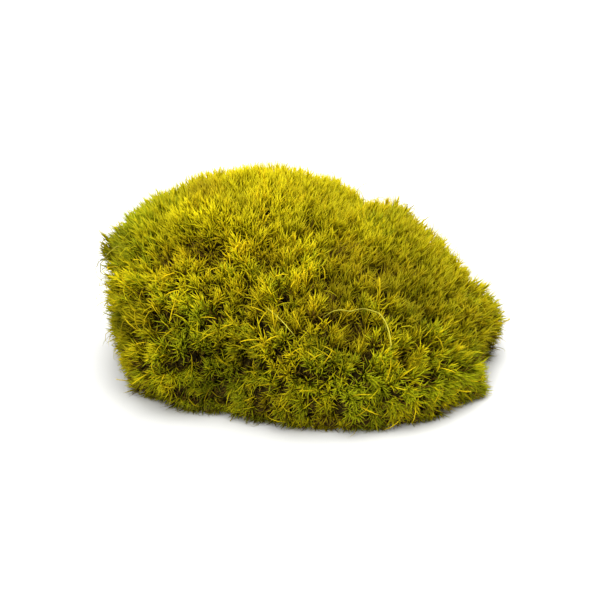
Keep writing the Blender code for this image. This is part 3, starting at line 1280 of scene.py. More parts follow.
@dataclass
class ShootCarpet:
    """All the shoots of the cushion. Each stands on the bed and carries a spiral of leaves."""

    spacing: float = 1.62 * MM
    leaf_reach: float = 4.3 * MM
    lock_size: float = 4.6 * MM
    leaves: int = 28
    sway: float = 1.1
    stray: float = 0.22
    low_tilt: float = 0.55
    top_tilt: float = 0.10
    wisps: float = 0.30
    seed: int = 7
    shortest_stem: float = 0.8 * MM
    smallest_leaf: float = 0.72
    ray: float = 12 * MM
    beyond: float = 3 * MM
    dive: float = 6.5 * MM
    blades: tuple[LeafBlade, ...] = (
        LeafBlade(),
        LeafBlade(length=5.2 * MM, width=0.36 * MM, bend=0.25),
        LeafBlade(length=4.2 * MM, width=0.42 * MM, bend=-0.35),
        LeafBlade(length=5.0 * MM, width=0.38 * MM, bend=0.7),
        LeafBlade(length=3.9 * MM, width=0.38 * MM, bend=-0.15),
    )
    wisp_blades: tuple[LeafBlade, ...] = (
        wisp(8.0 * MM, 0.29 * MM, 2.3),
        wisp(6.6 * MM, 0.31 * MM, 1.6),
        wisp(7.4 * MM, 0.27 * MM, 2.8),
    )

    def tree(self, values: dict[str, object]) -> bpy.types.NodeTree:
        """Builds the Geometry Nodes tree that plants the shoots of one region and sets their leaves.

        Args:
            values: What its named inputs get.

        Returns:
            The tree.
        """
        nodes = FieldMaker("moss_shoots", values)
        shoots = self.plant(nodes)
        layers = [make(nodes, shoots) for make in (self.raise_stems, self.set_leaves, self.set_wisps)]
        real = nodes.value("GeometryNodeRealizeInstances", {"Geometry": nodes.joined(layers)})
        return nodes.finish(self.map_leaves(nodes, real))

    def plant(self, nodes: FieldMaker) -> Field:
        """Sets a point for each shoot of the region, with its way, turn, height, tone and warmth.

        Args:
            nodes: The tree.

        Returns:
            The points.
        """
        fuller = (nodes.read("room").remap(1.35, 2.3, 0.0, 1.0) + nodes.read("extra")).clamped()
        layers = []
        for wider, share, seed in ((1.0, 1.0, 0.0), (1.25, fuller, 1.0)):
            wires = {
                "Mesh": nodes.given("Geometry"),
                "Distance Min": nodes.given("Spacing") * wider,
                "Density Max": 1e7,
                "Density Factor": share,
                "Seed": nodes.given("Seed") + seed,
            }
            kind = "GeometryNodeDistributePointsOnFaces"
            layers.append(nodes.value(kind, wires, distribute_method="POISSON"))
        place = nodes.value("GeometryNodeInputPosition")
        height = place.parts()[2]
        locks = nodes.add("ShaderNodeTexVoronoi", {"Vector": place, "Scale": 1.0 / nodes.given("Lock Size")})
        inward = (nodes.field(locks, "Position") - place) * (nodes.read("gather") / nodes.given("Lock Size"))
        wind = nodes.drift(9 * MM, 0.3, "Color") - (0.5, 0.5, 0.5)
        sway = nodes.given("Sway") * nodes.gathered(0.45, 1.0) * height.remap(6 * MM, 20 * MM, 0.4, 1.0)
        way = nodes.read("straight", VECTOR) + nodes.read("lift") * UP
        way = way + wind * sway + inward + nodes.stray(11) * nodes.given("Stray")
        points = nodes.store(nodes.joined(layers), "way", self.above_ground(nodes, way, height), VECTOR)
        points = nodes.store(points, "turn", nodes.chance(0.0, math.tau, 12))
        points = self.measure_reach(nodes, points)
        # The tone shift of the patches is painted light and shade
        tone_shift, warmth_shift, vigour_shift = nodes.read("shift", VECTOR).parts()
        lock_vigour, lock_tone, lock_warmth = nodes.field(locks, "Color").parts()
        tuft = nodes.drift(7.5 * MM, 0.7).remap(0.25, 0.75, -0.36, 0.36)
        vigour = (nodes.read("vigour") + vigour_shift) * lock_vigour.remap(0.0, 1.0, 0.97, 1.07)
        vigour = vigour * nodes.chance(0.95, 1.14, 13) * (1.0 + tuft * nodes.read("gather"))
        points = nodes.store(points, "tall", nodes.read("tall") * vigour)
        own = nodes.chance(-0.14, 0.14, 14) + lock_tone.remap(0.0, 1.0, -0.11, 0.11)
        own = own * nodes.gathered(0.3, 1.0) + tuft * 0.25 * nodes.read("gather") + tone_shift
        points = nodes.store(points, "tone", nodes.read("tone") + own)
        own = nodes.chance(-0.15, 0.15, 15) + lock_warmth.remap(0.0, 1.0, -0.20, 0.20)
        own = (own + nodes.drift(11 * MM, 2.7).remap(0.3, 0.7, -0.17, 0.17)) * nodes.gathered(0.4, 1.0, 0.35)
        points = nodes.store(points, "warmth", nodes.read("warmth") + (own + warmth_shift))
        wires = {"A": nodes.read("region", "INT"), "B": nodes.given("Region")}
        here = nodes.value("FunctionNodeCompare", wires, data_type="INT", operation="EQUAL")
        kept = nodes.chance(0.0, 1.0, 16) > nodes.read("gap") + vigour_shift * -0.6
        return nodes.chosen(points, kept * here)

    def above_ground(self, nodes: FieldMaker, way: Field, height: Field) -> Field:
        """Turns the ways up where shoots rooted that high would dive into the ground, and makes them unit."""
        x, y, z = way.unit().parts()
        return nodes.vector(x, y, z.at_least(height * (-1 / self.dive))).unit()

    def measure_reach(self, nodes: FieldMaker, points: Field) -> Field:
        """Measures how far each shoot can grow along its way before it meets the surface of the tips.

        Args:
            nodes: The tree.
            points: The points of the shoots.

        Returns:
            The points, with that distance as "tall" and with the shifts of the patches there as "shift".
        """
        tips = nodes.field(nodes.add("GeometryNodeObjectInfo", {"Object": nodes.given("Tips")}), "Geometry")
        wires = {
            "Target Geometry": tips,
            "Attribute": nodes.read("shift", VECTOR),
            "Ray Direction": nodes.read("way", VECTOR),
            "Ray Length": self.ray,
        }
        ray = nodes.add("GeometryNodeRaycast", wires, data_type=VECTOR)
        hit = nodes.field(ray, "Is Hit")
        reach = nodes.field(ray, "Hit Distance") * hit + (1.0 - hit) * self.beyond
        points = nodes.store(points, "tall", reach)
        return nodes.store(points, "shift", nodes.field(ray, "Attribute"), VECTOR)

    def stem_height(self, nodes: FieldMaker) -> Field:
        """Returns how tall the stem of each shoot is: its reach, less that of its topmost leaves."""
        return (nodes.read("tall") - nodes.given("Leaf Reach")).at_least(self.shortest_stem)

    def leaf_size(self, nodes: FieldMaker) -> Field:
        """Returns the size of a shoot's leaves: smaller where there is little room in front of it."""
        room = nodes.read("tall") / (nodes.given("Leaf Reach") + self.shortest_stem)
        return room.at_least(self.smallest_leaf).at_most(1.0)

    def raise_stems(self, nodes: FieldMaker, shoots: Field) -> Field:
        """Stands a stem on each point.

        Args:
            nodes: The tree.
            shoots: The points.

        Returns:
            The stems, as instances.
        """
        shade = nodes.vector(float(Family.WITHERED.value), nodes.read("tone"))
        stem = nodes.add("GeometryNodeObjectInfo", {"Object": nodes.given("Stem Shape")})
        wires = {
            "Points": nodes.store(shoots, "shade", shade, VECTOR),
            "Instance": nodes.field(stem, "Geometry"),
            "Rotation": nodes.facing(),
            "Scale": nodes.vector(1.0, 1.0, self.stem_height(nodes)),
        }
        return nodes.value("GeometryNodeInstanceOnPoints", wires)

    def set_leaves(self, nodes: FieldMaker, shoots: Field) -> Field:
        """Sets the leaves in a spiral up each shoot, spread wide low down and closing to a bud at the top.

        Args:
            nodes: The tree.
            shoots: The points of the shoots.

        Returns:
            The leaves, as instances.
        """
        count = nodes.given("Leaves")
        wires = {"Geometry": shoots, "Amount": count}
        copies = nodes.add("GeometryNodeDuplicateElements", wires, domain="POINT")
        order = nodes.field(copies, "Duplicate Index")
        leaves = nodes.store(copies, "share", (order + nodes.chance(0.0, 1.0, 21)) / count)
        share = nodes.read("share")
        turn = order * GOLDEN_ANGLE + nodes.read("turn") + nodes.chance(-0.3, 0.3, 22)
        leaves = nodes.store(leaves, "turn", turn)
        leaves = nodes.moved(leaves, nodes.read("way", VECTOR) * (self.stem_height(nodes) * share))
        tilt = share.remap(0.0, 1.0, nodes.given("Low Tilt"), nodes.given("Top Tilt"))
        tilt = tilt + nodes.read("spread") * 0.5 + nodes.chance(-0.14, 0.14, 23)
        size = nodes.chance(0.82, 1.14, 24) * share.remap(0.6, 1.0, 1.0, 0.78) * self.leaf_size(nodes)
        own = nodes.chance(-0.14, 0.14, 25) * (nodes.gathered(0.4, 0.9) + nodes.read("spread") * 1.6)
        # Leaves low on each shoot are painted darker where the shoots stand in locks, as painted shade deep
        # among them, and the topmost lighter, as painted light
        shaded = share.remap(0.0, 1.0, nodes.gathered(0.02, -0.42), nodes.gathered(0.10, 0.16))
        tone = (nodes.read("tone") + own + shaded).clamped()
        shade = nodes.vector(self.choose_family(nodes, share), tone)
        leaves = nodes.store(leaves, "shade", shade, VECTOR)
        facing = nodes.facing(tilt, nodes.read("turn"))
        return nodes.set_out(leaves, "Leaf Shapes", len(self.blades) - 1, 26, facing, size)

    def set_wisps(self, nodes: FieldMaker, shoots: Field) -> Field:
        """Sets a long, curled leaf on some of the shoots, which hangs over their neighbours.

        Args:
            nodes: The tree.
            shoots: The points of the shoots.

        Returns:
            The wisps, as instances.
        """
        share = nodes.read("gather").remap(0.25, 0.60, 0.02, nodes.given("Wisps"))
        wisps = nodes.chosen(shoots, nodes.chance(0.0, 1.0, 51) < share)
        height = self.stem_height(nodes) + nodes.chance(0.4 * MM, 2.2 * MM, 52)
        wisps = nodes.moved(wisps, nodes.read("way", VECTOR) * height)
        tone = (nodes.read("tone") + nodes.chance(0.0, 0.34, 53)).clamped()
        family = (nodes.chance(0.0, 1.0, 54) > 0.4) * float(Family.GOLDEN.value)
        wisps = nodes.store(wisps, "shade", nodes.vector(family, tone), VECTOR)
        facing = nodes.facing(nodes.chance(-0.1, 0.7, 55), nodes.chance(0.0, math.tau, 56))
        size = nodes.chance(0.75, 1.1, 58) * self.leaf_size(nodes)
        return nodes.set_out(wisps, "Wisp Shapes", len(self.wisp_blades) - 1, 57, facing, size)

    @staticmethod
    def choose_family(nodes: FieldMaker, share: Field) -> Field:
        """Draws each leaf's family.

        It is golden or even withered where it is warm, green where it is cool, and withered low down.

        Args:
            nodes: The tree.
            share: How far up its shoot the leaf stands.

        Returns:
            The family's number.
        """
        warmth = nodes.read("warmth") + nodes.chance(-0.28, 0.28, 31) * nodes.gathered(0.5, 1.0, 0.35)
        green = (warmth < 0.25) * float(Family.GREEN.value)
        alive = green + (warmth > 0.62) * float(Family.GOLDEN.value)
        lowest = nodes.gathered(0.0, 0.14) + nodes.read("age") + warmth.remap(0.90, 1.3, 0.0, 0.9)
        old = share + nodes.chance(-0.12, 0.12, 32) < lowest
        return alive * (1.0 - old) + old * float(Family.WITHERED.value)

    @staticmethod
    def map_leaves(nodes: FieldMaker, geometry: Field) -> Field:
        """Writes the map that the finish reads.

        U is the family's strip and the place along the leaf, and V is the tone.

        Args:
            nodes: The tree.
            geometry: The real mesh of leaves and stems.

        Returns:
            The mesh with its map.
        """
        along, across, _ = nodes.read(LEAF_MAP, VECTOR).parts()
        family, tone, _ = nodes.read("shade", VECTOR).parts()
        # Leaves close to the ground are darker: soil on them, and painted shade where they meet the ground
        soil_and_ground_shade = nodes.value("GeometryNodeInputPosition").parts()[2].remap(0.4 * MM, 2.6 * MM, 0.60, 0.0)
        u = (family + along.remap(0.0, 1.0, EDGE, 1 - EDGE)) / float(len(Family))
        tone = (tone - soil_and_ground_shade).clamped().remap(0.0, 1.0, 0.02, 0.98)
        v = tone + across.remap(0.0, 1.0, -LEAF_STRIP, LEAF_STRIP)
        return nodes.store(geometry, BAKE_MAP, nodes.vector(u, v), "FLOAT2", "CORNER")

    def build(
        self, bed: bpy.types.Mesh, skin: bpy.types.Mesh, finish: bpy.types.Material
    ) -> list[bpy.types.Object]:
        """Grows the shoots, one piece for each region.

        Args:
            bed: The surface that they are rooted in.
            skin: The surface that their tips reach.
            finish: The leaves' material.

        Returns:
            The pieces.
        """
        given = titled(self, "spacing leaf_reach lock_size leaves sway stray low_tilt top_tilt wisps seed")
        shapes = {
            "Leaf Shapes": collected("leaf_shapes", self.cut("leaf_shape", self.blades, finish)),
            "Wisp Shapes": collected("wisp_shapes", self.cut("wisp_shape", self.wisp_blades, finish)),
            "Stem Shape": ShootStem().build("stem_shape", finish),
            "Tips": placed("shoot_tips", skin),
        }
        values = {"Region": 0, "Finish": finish, **given, **shapes}
        tree = self.tree(values)
        pieces = []
        for region in Region:
            piece = grown("moss_shoots_" + region.name.lower(), bed, tree, {**values, "Region": region.value})
            keep_maps_only(piece.data)
            rest_on_ground(piece.data)
            pieces.append(piece)
        discard(*shapes.values())
        return pieces

    @staticmethod
    def cut(name: str, blades: Iterable[LeafBlade], finish: bpy.types.Material) -> list[bpy.types.Object]:
        """Makes the leaves of one set."""
        return [blade.build(f"{name}_{number}", finish) for number, blade in enumerate(blades)]


# ----------------------------------------------------------------------------------------------------
# What shows between and under the shoots


@dataclass
class Litter:
    """Loose small things, scattered over a surface: dead leaves, rhizoids or crumbs."""

    density: float
    smallest: float
    largest: float
    lean: float
    underside: float = 0.25
    highest_normal: float = 2.0
    sunk: float = 0.0
    near_ground: float = 0.5 * MM
    versions: int = 5
    seed: int = 3

    @staticmethod
    def tree(values: dict[str, object]) -> bpy.types.NodeTree:
        """Builds the Geometry Nodes tree that scatters the shapes.

        Args:
            values: What its named inputs get.

        Returns:
            The tree.
        """
        nodes = FieldMaker("litter", values)
        facing = nodes.value("GeometryNodeInputNormal").parts()[2]
        wires = {
            "Mesh": nodes.given("Geometry"),
            "Selection": facing < nodes.given("Highest Normal"),
            "Density": nodes.given("Density") * facing.remap(-1.0, -0.5, nodes.given("Underside"), 1.0),
            "Seed": nodes.given("Seed"),
        }
        spread = nodes.add("GeometryNodeDistributePointsOnFaces", wires)
        normal = nodes.field(spread, "Normal")
        way = normal * (1.0, 1.0, 0.5) + nodes.stray(41) * nodes.given("Lean")
        points = nodes.store(spread, "way", way.unit(), VECTOR)
        points = nodes.moved(points, normal * (nodes.given("Sunk") * -1.0))
        facing = nodes.facing(turn=nodes.chance(0.0, math.tau, 42))
        size = nodes.chance(nodes.given("Smallest"), nodes.given("Largest"), 44)
        return nodes.finish(nodes.set_out(points, "Shapes", nodes.given("Versions") - 1.0, 43, facing, size))

    def scatter(
        self,
        name: str,
        base: bpy.types.Mesh,
        make: Callable[[int], bmesh.types.BMesh],
        finish: bpy.types.Material,
    ) -> bpy.types.Object:
        """Scatters versions of a shape over a surface.

        Args:
            name: The new piece's name.
            base: The surface.
            make: Makes one version of the shape from its number.
            finish: The finish of the shapes.

        Returns:
            The piece.
        """
        meshes = [as_mesh(make(number), f"{name}_{number}", finish) for number in range(self.versions)]
        shapes = collected(name + "_shapes", [bpy.data.objects.new(mesh.name, mesh) for mesh in meshes])
        values = titled(self, "density smallest largest lean underside highest_normal sunk versions seed")
        values.update({"Shapes": shapes, "Finish": finish})
        bare = base.copy()
        bare.materials.clear()
        piece = grown(name, bare, self.tree(values), values)
        discard(shapes)
        keep_maps_only(piece.data)
        rest_on_ground(piece.data, self.near_ground)
        return piece


def thread(number: int, radius: float = 0.022, crook: float = 0.075) -> bmesh.types.BMesh:
    """Makes one version of a thin, three-sided, crooked and tapering thread, a unit long.

    Args:
        number: The version.
        radius: The radius at its foot.
        crook: How far it wanders from one station to the next.

    Returns:
        The thread, growing up from the origin.
    """
    stations, sides = 7, 3
    bend = np.cumsum(np.random.default_rng(number).normal(0, crook, (stations, 2)), axis=0)
    turns = [math.tau * side / sides for side in range(sides)]
    shape = bmesh.new()
    rings = []
    for station in range(stations):
        share = station / (stations - 1)
        middle = Vector((bend[station][0], bend[station][1], share - 0.08))
        thick = radius * (1 - 0.75 * share)
        rings.append([shape.verts.new(middle + thick * Vector((math.cos(a), math.sin(a), 0))) for a in turns])
    close_up(shape, rings)
    return shape


def crumb(number: int) -> bmesh.types.BMesh:
    """Makes one version of a crumb of humus.

    Args:
        number: The version.

    Returns:
        A rough lump, about a unit across.
    """
    shape = bmesh.new()
    bmesh.ops.create_icosphere(shape, subdivisions=1, radius=0.5)
    for vertex in shape.verts:
        vertex.co *= 0.75 + 0.6 * noise.noise(vertex.co * 2.0 + Vector((number * 7.1, 0, 0)))
        vertex.co.z *= 0.7
    return shape


def dead_leaf(number: int) -> bmesh.types.BMesh:
    """Makes one version of a shrivelled leaf, a unit long.

    Args:
        number: The version.

    Returns:
        A folded, curled and twisted blade.
    """
    chance = np.random.default_rng(number + 20)
    curl, twist = chance.uniform(0.6, 2.4), chance.uniform(-2.0, 2.0)
    shape = bmesh.new()
    rings = []
    for station, width in ((0.0, 0.055), (0.35, 0.07), (0.7, 0.05)):
        turn = curl * station
        middle = Vector((0, (math.cos(turn) - 1) / curl, math.sin(turn) / curl))
        across = Vector((math.cos(twist * station), math.sin(twist * station), 0))
        fold = Vector((-across.y, across.x, 0)) * width * 0.6
        rings.append([shape.verts.new(middle + offset) for offset in (-across * width, fold, across * width)])
    tip = shape.verts.new((0, (math.cos(curl) - 1) / curl, math.sin(curl) / curl))
    close_up(shape, rings, tip)
    return shape


@dataclass
class StemMass:
    """The heart of the cushion, dead stems and old leaves, which shows only in the gaps. Its stems are
    coloured near black, as painted shade deep among the shoots.
    """

    roughness: float = 0.5 * MM
    lump: float = 2.2 * MM
    dead_leaves: Litter = field(
        default_factory=lambda: Litter(3.6e5, 1.6 * MM, 3.6 * MM, lean=1.1, sunk=0.2 * MM)
    )

    def build(
        self, bed: bpy.types.Mesh, finish: bpy.types.Material, leaf: bpy.types.Material
    ) -> list[bpy.types.Object]:
        """Makes the heart.

        Args:
            bed: The surface that the shoots are rooted in, down to the mat.
            finish: The finish of the stems.
            leaf: The finish of the dead leaves.

        Returns:
            The mass of stems, closed at its foot, and the dead leaves that are caught on it.
        """
        shape = bmesh.new()
        shape.from_mesh(bed)
        foot = min(vertex.co.z for vertex in shape.verts)
        for vertex in shape.verts:
            if vertex.co.z > foot + MM:
                vertex.co += vertex.normal * self.roughness * noise.noise(vertex.co / self.lump)
        bmesh.ops.edgeloop_fill(shape, edges=[edge for edge in shape.edges if edge.is_boundary])
        mass = placed("moss_stem_mass", as_mesh(shape, "moss_stem_mass", finish))
        keep_maps_only(mass.data)
        return [mass, self.dead_leaves.scatter("moss_dead_leaves", bed, dead_leaf, leaf)]


@dataclass
class RootMat:
    """The mat of dead stems, rhizoids and humus under the cushion, cut flat where it was lifted."""

    shrink: float = 1.3 * MM
    rim_points: int = 300
    rim_step: float = math.tau / 60
    heights: tuple[float, ...] = (0.0, 0.35, 0.9, 1.6, 2.3, 2.8, 3.0)
    bulges: tuple[float, ...] = (-0.5, 0.0, 0.25, 0.3, 0.15, -0.3, -1.0)
    rings: int = 26
    raggedness: float = 1.1 * MM
    ragged_size: float = 2.6 * MM
    dimple: float = 0.35 * MM
    dimple_size: float = 1.8 * MM
    rhizoids: Litter = field(
        default_factory=lambda: Litter(6e5, 1.2 * MM, 3.2 * MM, lean=0.9, highest_normal=0.5)
    )
    crumbs: Litter = field(
        default_factory=lambda: Litter(3.6e5, 0.25 * MM, 1.1 * MM, lean=2.0, highest_normal=0.5)
    )

    def outline(self) -> list[tuple[Vector, float]]:
        """Reads the frame's mat.

        Returns:
            The way and the reach of its rim at even steps round it. It draws back where the cushion's foot
            does.
        """
        places = [vertex.co for vertex in frame["nodes"][MAT_NODE].data.vertices]
        known = [(math.atan2(place.y, place.x), math.hypot(place.x, place.y)) for place in places]
        rim = []
        for step in range(self.rim_points):
            angle = -math.pi + math.tau * step / self.rim_points
            turns = [(abs((other - angle + math.pi) % math.tau - math.pi), radius) for other, radius in known]
            reach = max(radius for turn, radius in turns if turn < self.rim_step)
            place = Vector((math.cos(angle) * reach, math.sin(angle) * reach, self.heights[-1] * MM))
            drawn = reach + sum(min(0.0, swell.at(place)) for swell in SWELLS)
            rim.append((Vector((math.cos(angle), math.sin(angle), 0)), drawn))
        return rim

    def felt(self, finish: bpy.types.Material) -> bpy.types.Object:
        """Makes the felt: a thin slab with a ragged flank and a torn, dimpled underside.

        Args:
            finish: Its material.

        Returns:
            The piece.
        """
        shape = bmesh.new()
        outline = self.outline()
        flank = [self.ring(shape, outline, height, bulge) for height, bulge in zip(self.heights, self.bulges)]
        under = [self.under_ring(shape, flank[0], step / self.rings) for step in range(self.rings - 1, 0, -1)]
        middle = shape.verts.new((0, 0, 0.1 * MM))
        top = shape.verts.new((0, 0, self.heights[-1] * MM))
        bridge(shape, [*reversed(under), *flank])
        for step in range(self.rim_points):
            after = (step + 1) % self.rim_points
            shape.faces.new((under[-1][after], under[-1][step], middle))
            shape.faces.new((flank[-1][step], flank[-1][after], top))
        return placed("mat_felt", as_mesh(shape, "mat_felt", finish))

    def ring(
        self, shape: bmesh.types.BMesh, outline: list[tuple[Vector, float]], height: float, bulge: float
    ) -> Ring:
        """Adds one ring of the flank, torn by a noise.

        Args:
            shape: The felt.
            outline: The way and the reach of the mat's rim.
            height: The ring's height, in millimetres.
            bulge: How far it stands out from the rim, in millimetres.

        Returns:
            The ring.
        """
        ring = []
        for way, reach in outline:
            place = way * (reach - self.shrink + bulge * MM) + Vector((0, 0, height * MM))
            torn = noise.fractal(place / self.ragged_size, 1.0, 2.0, 3) * self.raggedness
            ring.append(shape.verts.new(place + way * torn))
        return ring

    def under_ring(self, shape: bmesh.types.BMesh, rim: Ring, share: float) -> Ring:
        """Adds one ring of the underside, with its dimples.

        Args:
            shape: The felt.
            rim: The outermost ring of the underside.
            share: How far out it lies, from the middle to the rim.

        Returns:
            The ring.
        """
        ring = []
        for vertex in rim:
            place = Vector((vertex.co.x * share, vertex.co.y * share, 0))
            torn = 0.5 + 0.5 * noise.fractal(place / self.dimple_size, 1.0, 2.0, 3)
            ring.append(shape.verts.new(place + Vector((0, 0, self.dimple * min(1.0, max(0.0, torn))))))
        return ring

    def build(
        self, felt: bpy.types.Material, fibre: bpy.types.Material, humus: bpy.types.Material
    ) -> list[bpy.types.Object]:
        """Makes the mat.

        Args:
            felt: The finish of the felt.
            fibre: The finish of the rhizoids.
            humus: The finish of the crumbs.

        Returns:
            Its three pieces.
        """
        slab = self.felt(felt)
        rhizoids = self.rhizoids.scatter("mat_rhizoids", slab.data, thread, fibre)
        return [slab, rhizoids, self.crumbs.scatter("mat_crumbs", slab.data, crumb, humus)]


class Strand(NamedTuple):
    """A stray strand over the shoots, in millimetres: what it passes over, its radius and its lift."""

    name: str
    points: tuple[Triple, ...]
    radius: float
    lift: float = 0.2


HOOK_START = ((6.6, -34.4, 27.6), (10.7, -32.4, 27.6), (14.9, -31.6, 27.2))
HOOK_END = ((18.2, -31.8, 26.4), (19.8, -33.8, 24.6))
STRANDS = (
    Strand("hooked_strand", (*HOOK_START, *HOOK_END), 0.16, 0.8),
    Strand("hanging_end", (*HOOK_END, (20.6, -36.5, 22.2), (21, -38, 20.6)), 0.16, 0.8),
    Strand("slanting_strand", ((-8.2, -33.8, 28.2), (-5.7, -36.5, 26.8), (-3.3, -38.7, 25.1)), 0.12, 0.8),
    Strand("rear_strand", ((-20, 36, 24), (-15, 35, 27), (-9, 37, 26), (-6, 40, 22)), 0.12),
    Strand("left_strand", ((-47, 6, 20), (-46, 2, 24), (-43, -3, 29)), 0.10),
)


@dataclass
class StrayStrands:
    """The few pale strands that have come loose and lie in curves over the shoots."""

    dip: float = 2.6 * MM
    crook: float = 0.6 * MM
    crook_size: float = 3.6 * MM
    steps: int = 30
    sides: int = 5

    def route(self, strand: Strand, tips: BVHTree) -> list[Vector]:
        """Lays one strand over the shoots.

        Args:
            strand: The strand.
            tips: The surface that the shoot tips reach.

        Returns:
            The points of its middle line. Both ends dip in between the shoots.
        """
        laid = []
        for point in strand.points:
            place, normal, _, _ = tips.find_nearest(Vector(point) * MM)
            laid.append(place + normal * strand.lift * MM)
        ends = [tips.find_nearest(laid[0])[1], tips.find_nearest(laid[-1])[1]]
        first = laid[0] + (laid[0] - laid[1]) * 0.3 - ends[0] * self.dip
        last = laid[-1] + (laid[-1] - laid[-2]) * 0.3 - ends[1] * self.dip
        knots = [first, first, *laid, last, last]
        route = []
        for step in range(self.steps + 1):
            place = step / self.steps * (len(knots) - 3)
            span = min(int(place), len(knots) - 4)
            point = self.between(knots[span : span + 4], place - span)
            route.append(point + self.wander(point / self.crook_size) * self.crook)
        return route

    @staticmethod
    def wander(place: Vector) -> Vector:
        """Returns three different values of one fixed noise at a place, as a vector."""
        return Vector([noise.noise(place + Vector((shift, 0, 0))) for shift in (0.0, 17.3, 31.9)])

    @staticmethod
    def between(knots: list[Vector], share: float) -> Vector:
        """Finds a point on the smooth curve through four knots.

        Args:
            knots: The knots.
            share: How far it lies from the second knot to the third.

        Returns:
            The point.
        """
        before, start, end, after = knots
        bend = 2 * before - 5 * start + 4 * end - after
        twist = 3 * start - before - 3 * end + after
        return 0.5 * (2 * start + (end - before) * share + bend * share**2 + twist * share**3)

    def tube(self, shape: bmesh.types.BMesh, route: list[Vector], radius: float) -> None:
        """Adds a closed tube, thickest near its middle.

        Args:
            shape: What it is added to.
            route: The points of its middle line.
            radius: Its greatest radius.
        """
        turns = [math.tau * turn / self.sides for turn in range(self.sides)]
        rings = []
        for step, middle in enumerate(route):
            way = (route[min(step + 1, self.steps)] - route[max(step - 1, 0)]).normalized()
            side = way.cross(Vector(UP)).normalized()
            thick = radius * (0.25 + 0.75 * math.sin(math.pi * (0.12 + 0.8 * step / self.steps)))
            offsets = [side * math.cos(turn) + way.cross(side) * math.sin(turn) for turn in turns]
            rings.append([shape.verts.new(middle + thick * offset) for offset in offsets])
        close_up(shape, rings)

    def build(self, skin: bpy.types.Mesh, finish: bpy.types.Material) -> bpy.types.Object:
        """Makes all the strands, as one piece of closed tubes.

        Args:
            skin: The surface that the shoot tips reach.
            finish: The finish of the strands.

        Returns:
            The piece.
        """
        shape = bmesh.new()
        shape.from_mesh(skin)
        tips = BVHTree.FromBMesh(shape)
        shape.clear()
        for strand in STRANDS:
            self.tube(shape, self.route(strand, tips), strand.radius * MM)
        return placed("moss_stray_strands", as_mesh(shape, "moss_stray_strands", finish))


# ----------------------------------------------------------------------------------------------------
# Studio


@dataclass(frozen=True)
class Softbox:
    """A square lamp with a soft edge, aimed at the clump."""

    name: str
    place: Triple
    side: float
    watts: float

    def build(self) -> None:
        """Makes the lamp."""
        lamp = bpy.data.lights.new(self.name, "AREA")
        lamp.shape = "SQUARE"
        lamp.size = self.side
        lamp.energy = self.watts
        obj = placed(self.name, lamp)
        obj.location = self.place
        obj.rotation_euler = (Vector() - Vector(self.place)).to_track_quat("-Z", "Y").to_euler()


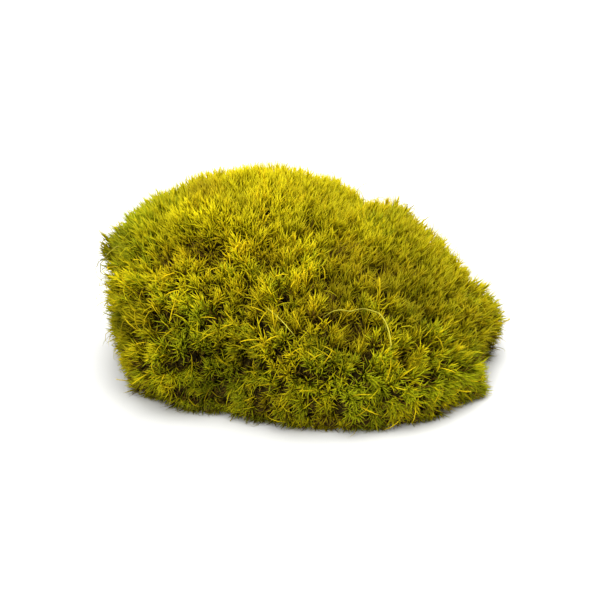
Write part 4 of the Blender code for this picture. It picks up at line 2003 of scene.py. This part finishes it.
@dataclass
class Studio:
    """The floor, the lamps, the white surroundings and the camera, at the photograph's angle."""

    floor_radius: float = 1.3
    floor_colour: Triple = (0.45, 0.45, 0.44)
    surround: float = 1.1
    elevation: float = math.radians(25)
    distance: float = 1.31
    field: float = 149.1 * MM
    aim: Triple = (-0.8 * MM, 0.0, 15.2 * MM)
    sensor: float = 36.0
    lamps: tuple[Softbox, ...] = (
        Softbox("softbox_behind", (0.5, 2.2, 2.1), 2.2, 95.0),
        Softbox("softbox_overhead", (0.0, 0.0, 3.0), 2.3, 130.0),
        Softbox("softbox_front", (-1.0, -2.6, 1.5), 1.8, 95.0),
    )

    def build(self) -> None:
        """Sets up everything and the plain colour rendering."""
        self.lay_floor()
        for lamp in self.lamps:
            lamp.build()
        self.light_surroundings()
        self.place_camera()
        bpy.context.scene.view_settings.view_transform = "Standard"
        bpy.context.scene.view_settings.look = "None"

    def lay_floor(self) -> None:
        """Lays the pale floor just under the clump."""
        shape = bmesh.new()
        bmesh.ops.create_circle(shape, cap_ends=True, segments=96, radius=self.floor_radius)
        bmesh.ops.translate(shape, verts=shape.verts[:], vec=(0, 0, -0.02 * MM))
        mesh = as_mesh(shape, "studio_floor")
        material, nodes, shader = blank("white_sweep")
        place = nodes.field(nodes.add("ShaderNodeTexCoord"), "Object")
        grain = nodes.value("ShaderNodeTexNoise", {"Vector": place, "Scale": 40.0})
        wires = {
            "Base Color": (*self.floor_colour, 1.0),
            "Roughness": grain.remap(0.3, 0.7, 0.8, 0.9),
            "Specular IOR Level": 0.1,
        }
        nodes.feed(shader, wires)
        mesh.materials.append(material)
        placed("studio_floor", mesh)

    def light_surroundings(self) -> None:
        """Makes the surroundings white to the camera, and a dim even fill to everything else."""
        world = bpy.data.worlds.new("white_surroundings")
        bpy.context.scene.world = world
        world.use_nodes = True
        world.node_tree.nodes.clear()
        nodes = TreeMaker(world.node_tree)
        white = {"Color": (1.0, 1.0, 1.0, 1.0)}
        fill = nodes.add("ShaderNodeBackground", {**white, "Strength": self.surround})
        seen = nodes.add("ShaderNodeBackground", {**white, "Strength": 1.0})
        directly = nodes.field(nodes.add("ShaderNodeLightPath"), "Is Camera Ray")
        both = nodes.add("ShaderNodeMixShader", {0: directly, 1: fill, 2: seen})
        nodes.add("ShaderNodeOutputWorld", {"Surface": both})

    def place_camera(self) -> None:
        """Sets the camera in front of the clump, looking down on it as the photograph does."""
        camera = bpy.data.cameras.new("camera")
        camera.sensor_width = self.sensor
        camera.lens = self.sensor * self.distance / self.field
        obj = placed("camera", camera)
        back = Vector((0.0, -math.cos(self.elevation), math.sin(self.elevation)))
        obj.location = Vector(self.aim) + back * self.distance
        obj.rotation_euler = (-back).to_track_quat("-Z", "Y").to_euler()
        bpy.context.scene.camera = obj


# ----------------------------------------------------------------------------------------------------
# The whole clump


Brown = CrumblyFinish
BROWNS = (
    # The old stems are dead stems, coloured near black as painted shade deep in the gaps between the shoots
    Brown("old_stems", (0.008, 0.006, 0.002), (0.02, 0.015, 0.003), (0.05, 0.036, 0.006), 0.7, 0.3, 0.02),
    Brown("dead_leaf", (0.035, 0.02, 0.003), (0.11, 0.069, 0.008), (0.3, 0.185, 0.02), 1.6, 0.1, 0.05),
    Brown("pale_strand", (0.16, 0.14, 0.01), (0.30, 0.27, 0.02), (0.44, 0.4, 0.04), 1.2, 0.05, 0.1),
    Brown("felt", (0.01, 0.006, 0.002), (0.03, 0.019, 0.005), (0.085, 0.055, 0.014), 0.6, 0.3, 0.03),
    Brown("rhizoid", (0.045, 0.025, 0.005), (0.11, 0.064, 0.012), (0.25, 0.155, 0.035), 0.9, 0.05, 0.05),
    Brown("humus", (0.009, 0.006, 0.002), (0.026, 0.017, 0.004), (0.07, 0.045, 0.012), 0.3, 0.1, 0.03),
)


def join_up(piece: bpy.types.Object, node: str) -> None:
    """Makes a piece ride on the clump's one body, in place of a node of the frame.

    Args:
        piece: The piece.
        node: The node that it stands for.
    """
    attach(piece, BODY)
    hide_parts(node)
    log.info("%s: %d faces", piece.name, len(piece.data.polygons))


def main() -> None:
    """Builds the clump and the studio round it."""
    logging.basicConfig(level=logging.INFO, format="%(message)s")
    crumbs = crumb_group()
    leaf = LeafFinish().build()
    dead = {finish.name: finish.build(crumbs) for finish in BROWNS}
    bed, skin, heart = ShootBed().build()
    for piece in ShootCarpet().build(bed, skin, leaf):
        join_up(piece, CUSHION_NODE)
    for piece in StemMass().build(heart, dead["old_stems"], dead["dead_leaf"]):
        join_up(piece, CUSHION_NODE)
    join_up(StrayStrands().build(skin, dead["pale_strand"]), CUSHION_NODE)
    for piece in RootMat().build(dead["felt"], dead["rhizoid"], dead["humus"]):
        join_up(piece, MAT_NODE)
    Studio().build()


if __name__ == "__main__":
    main()
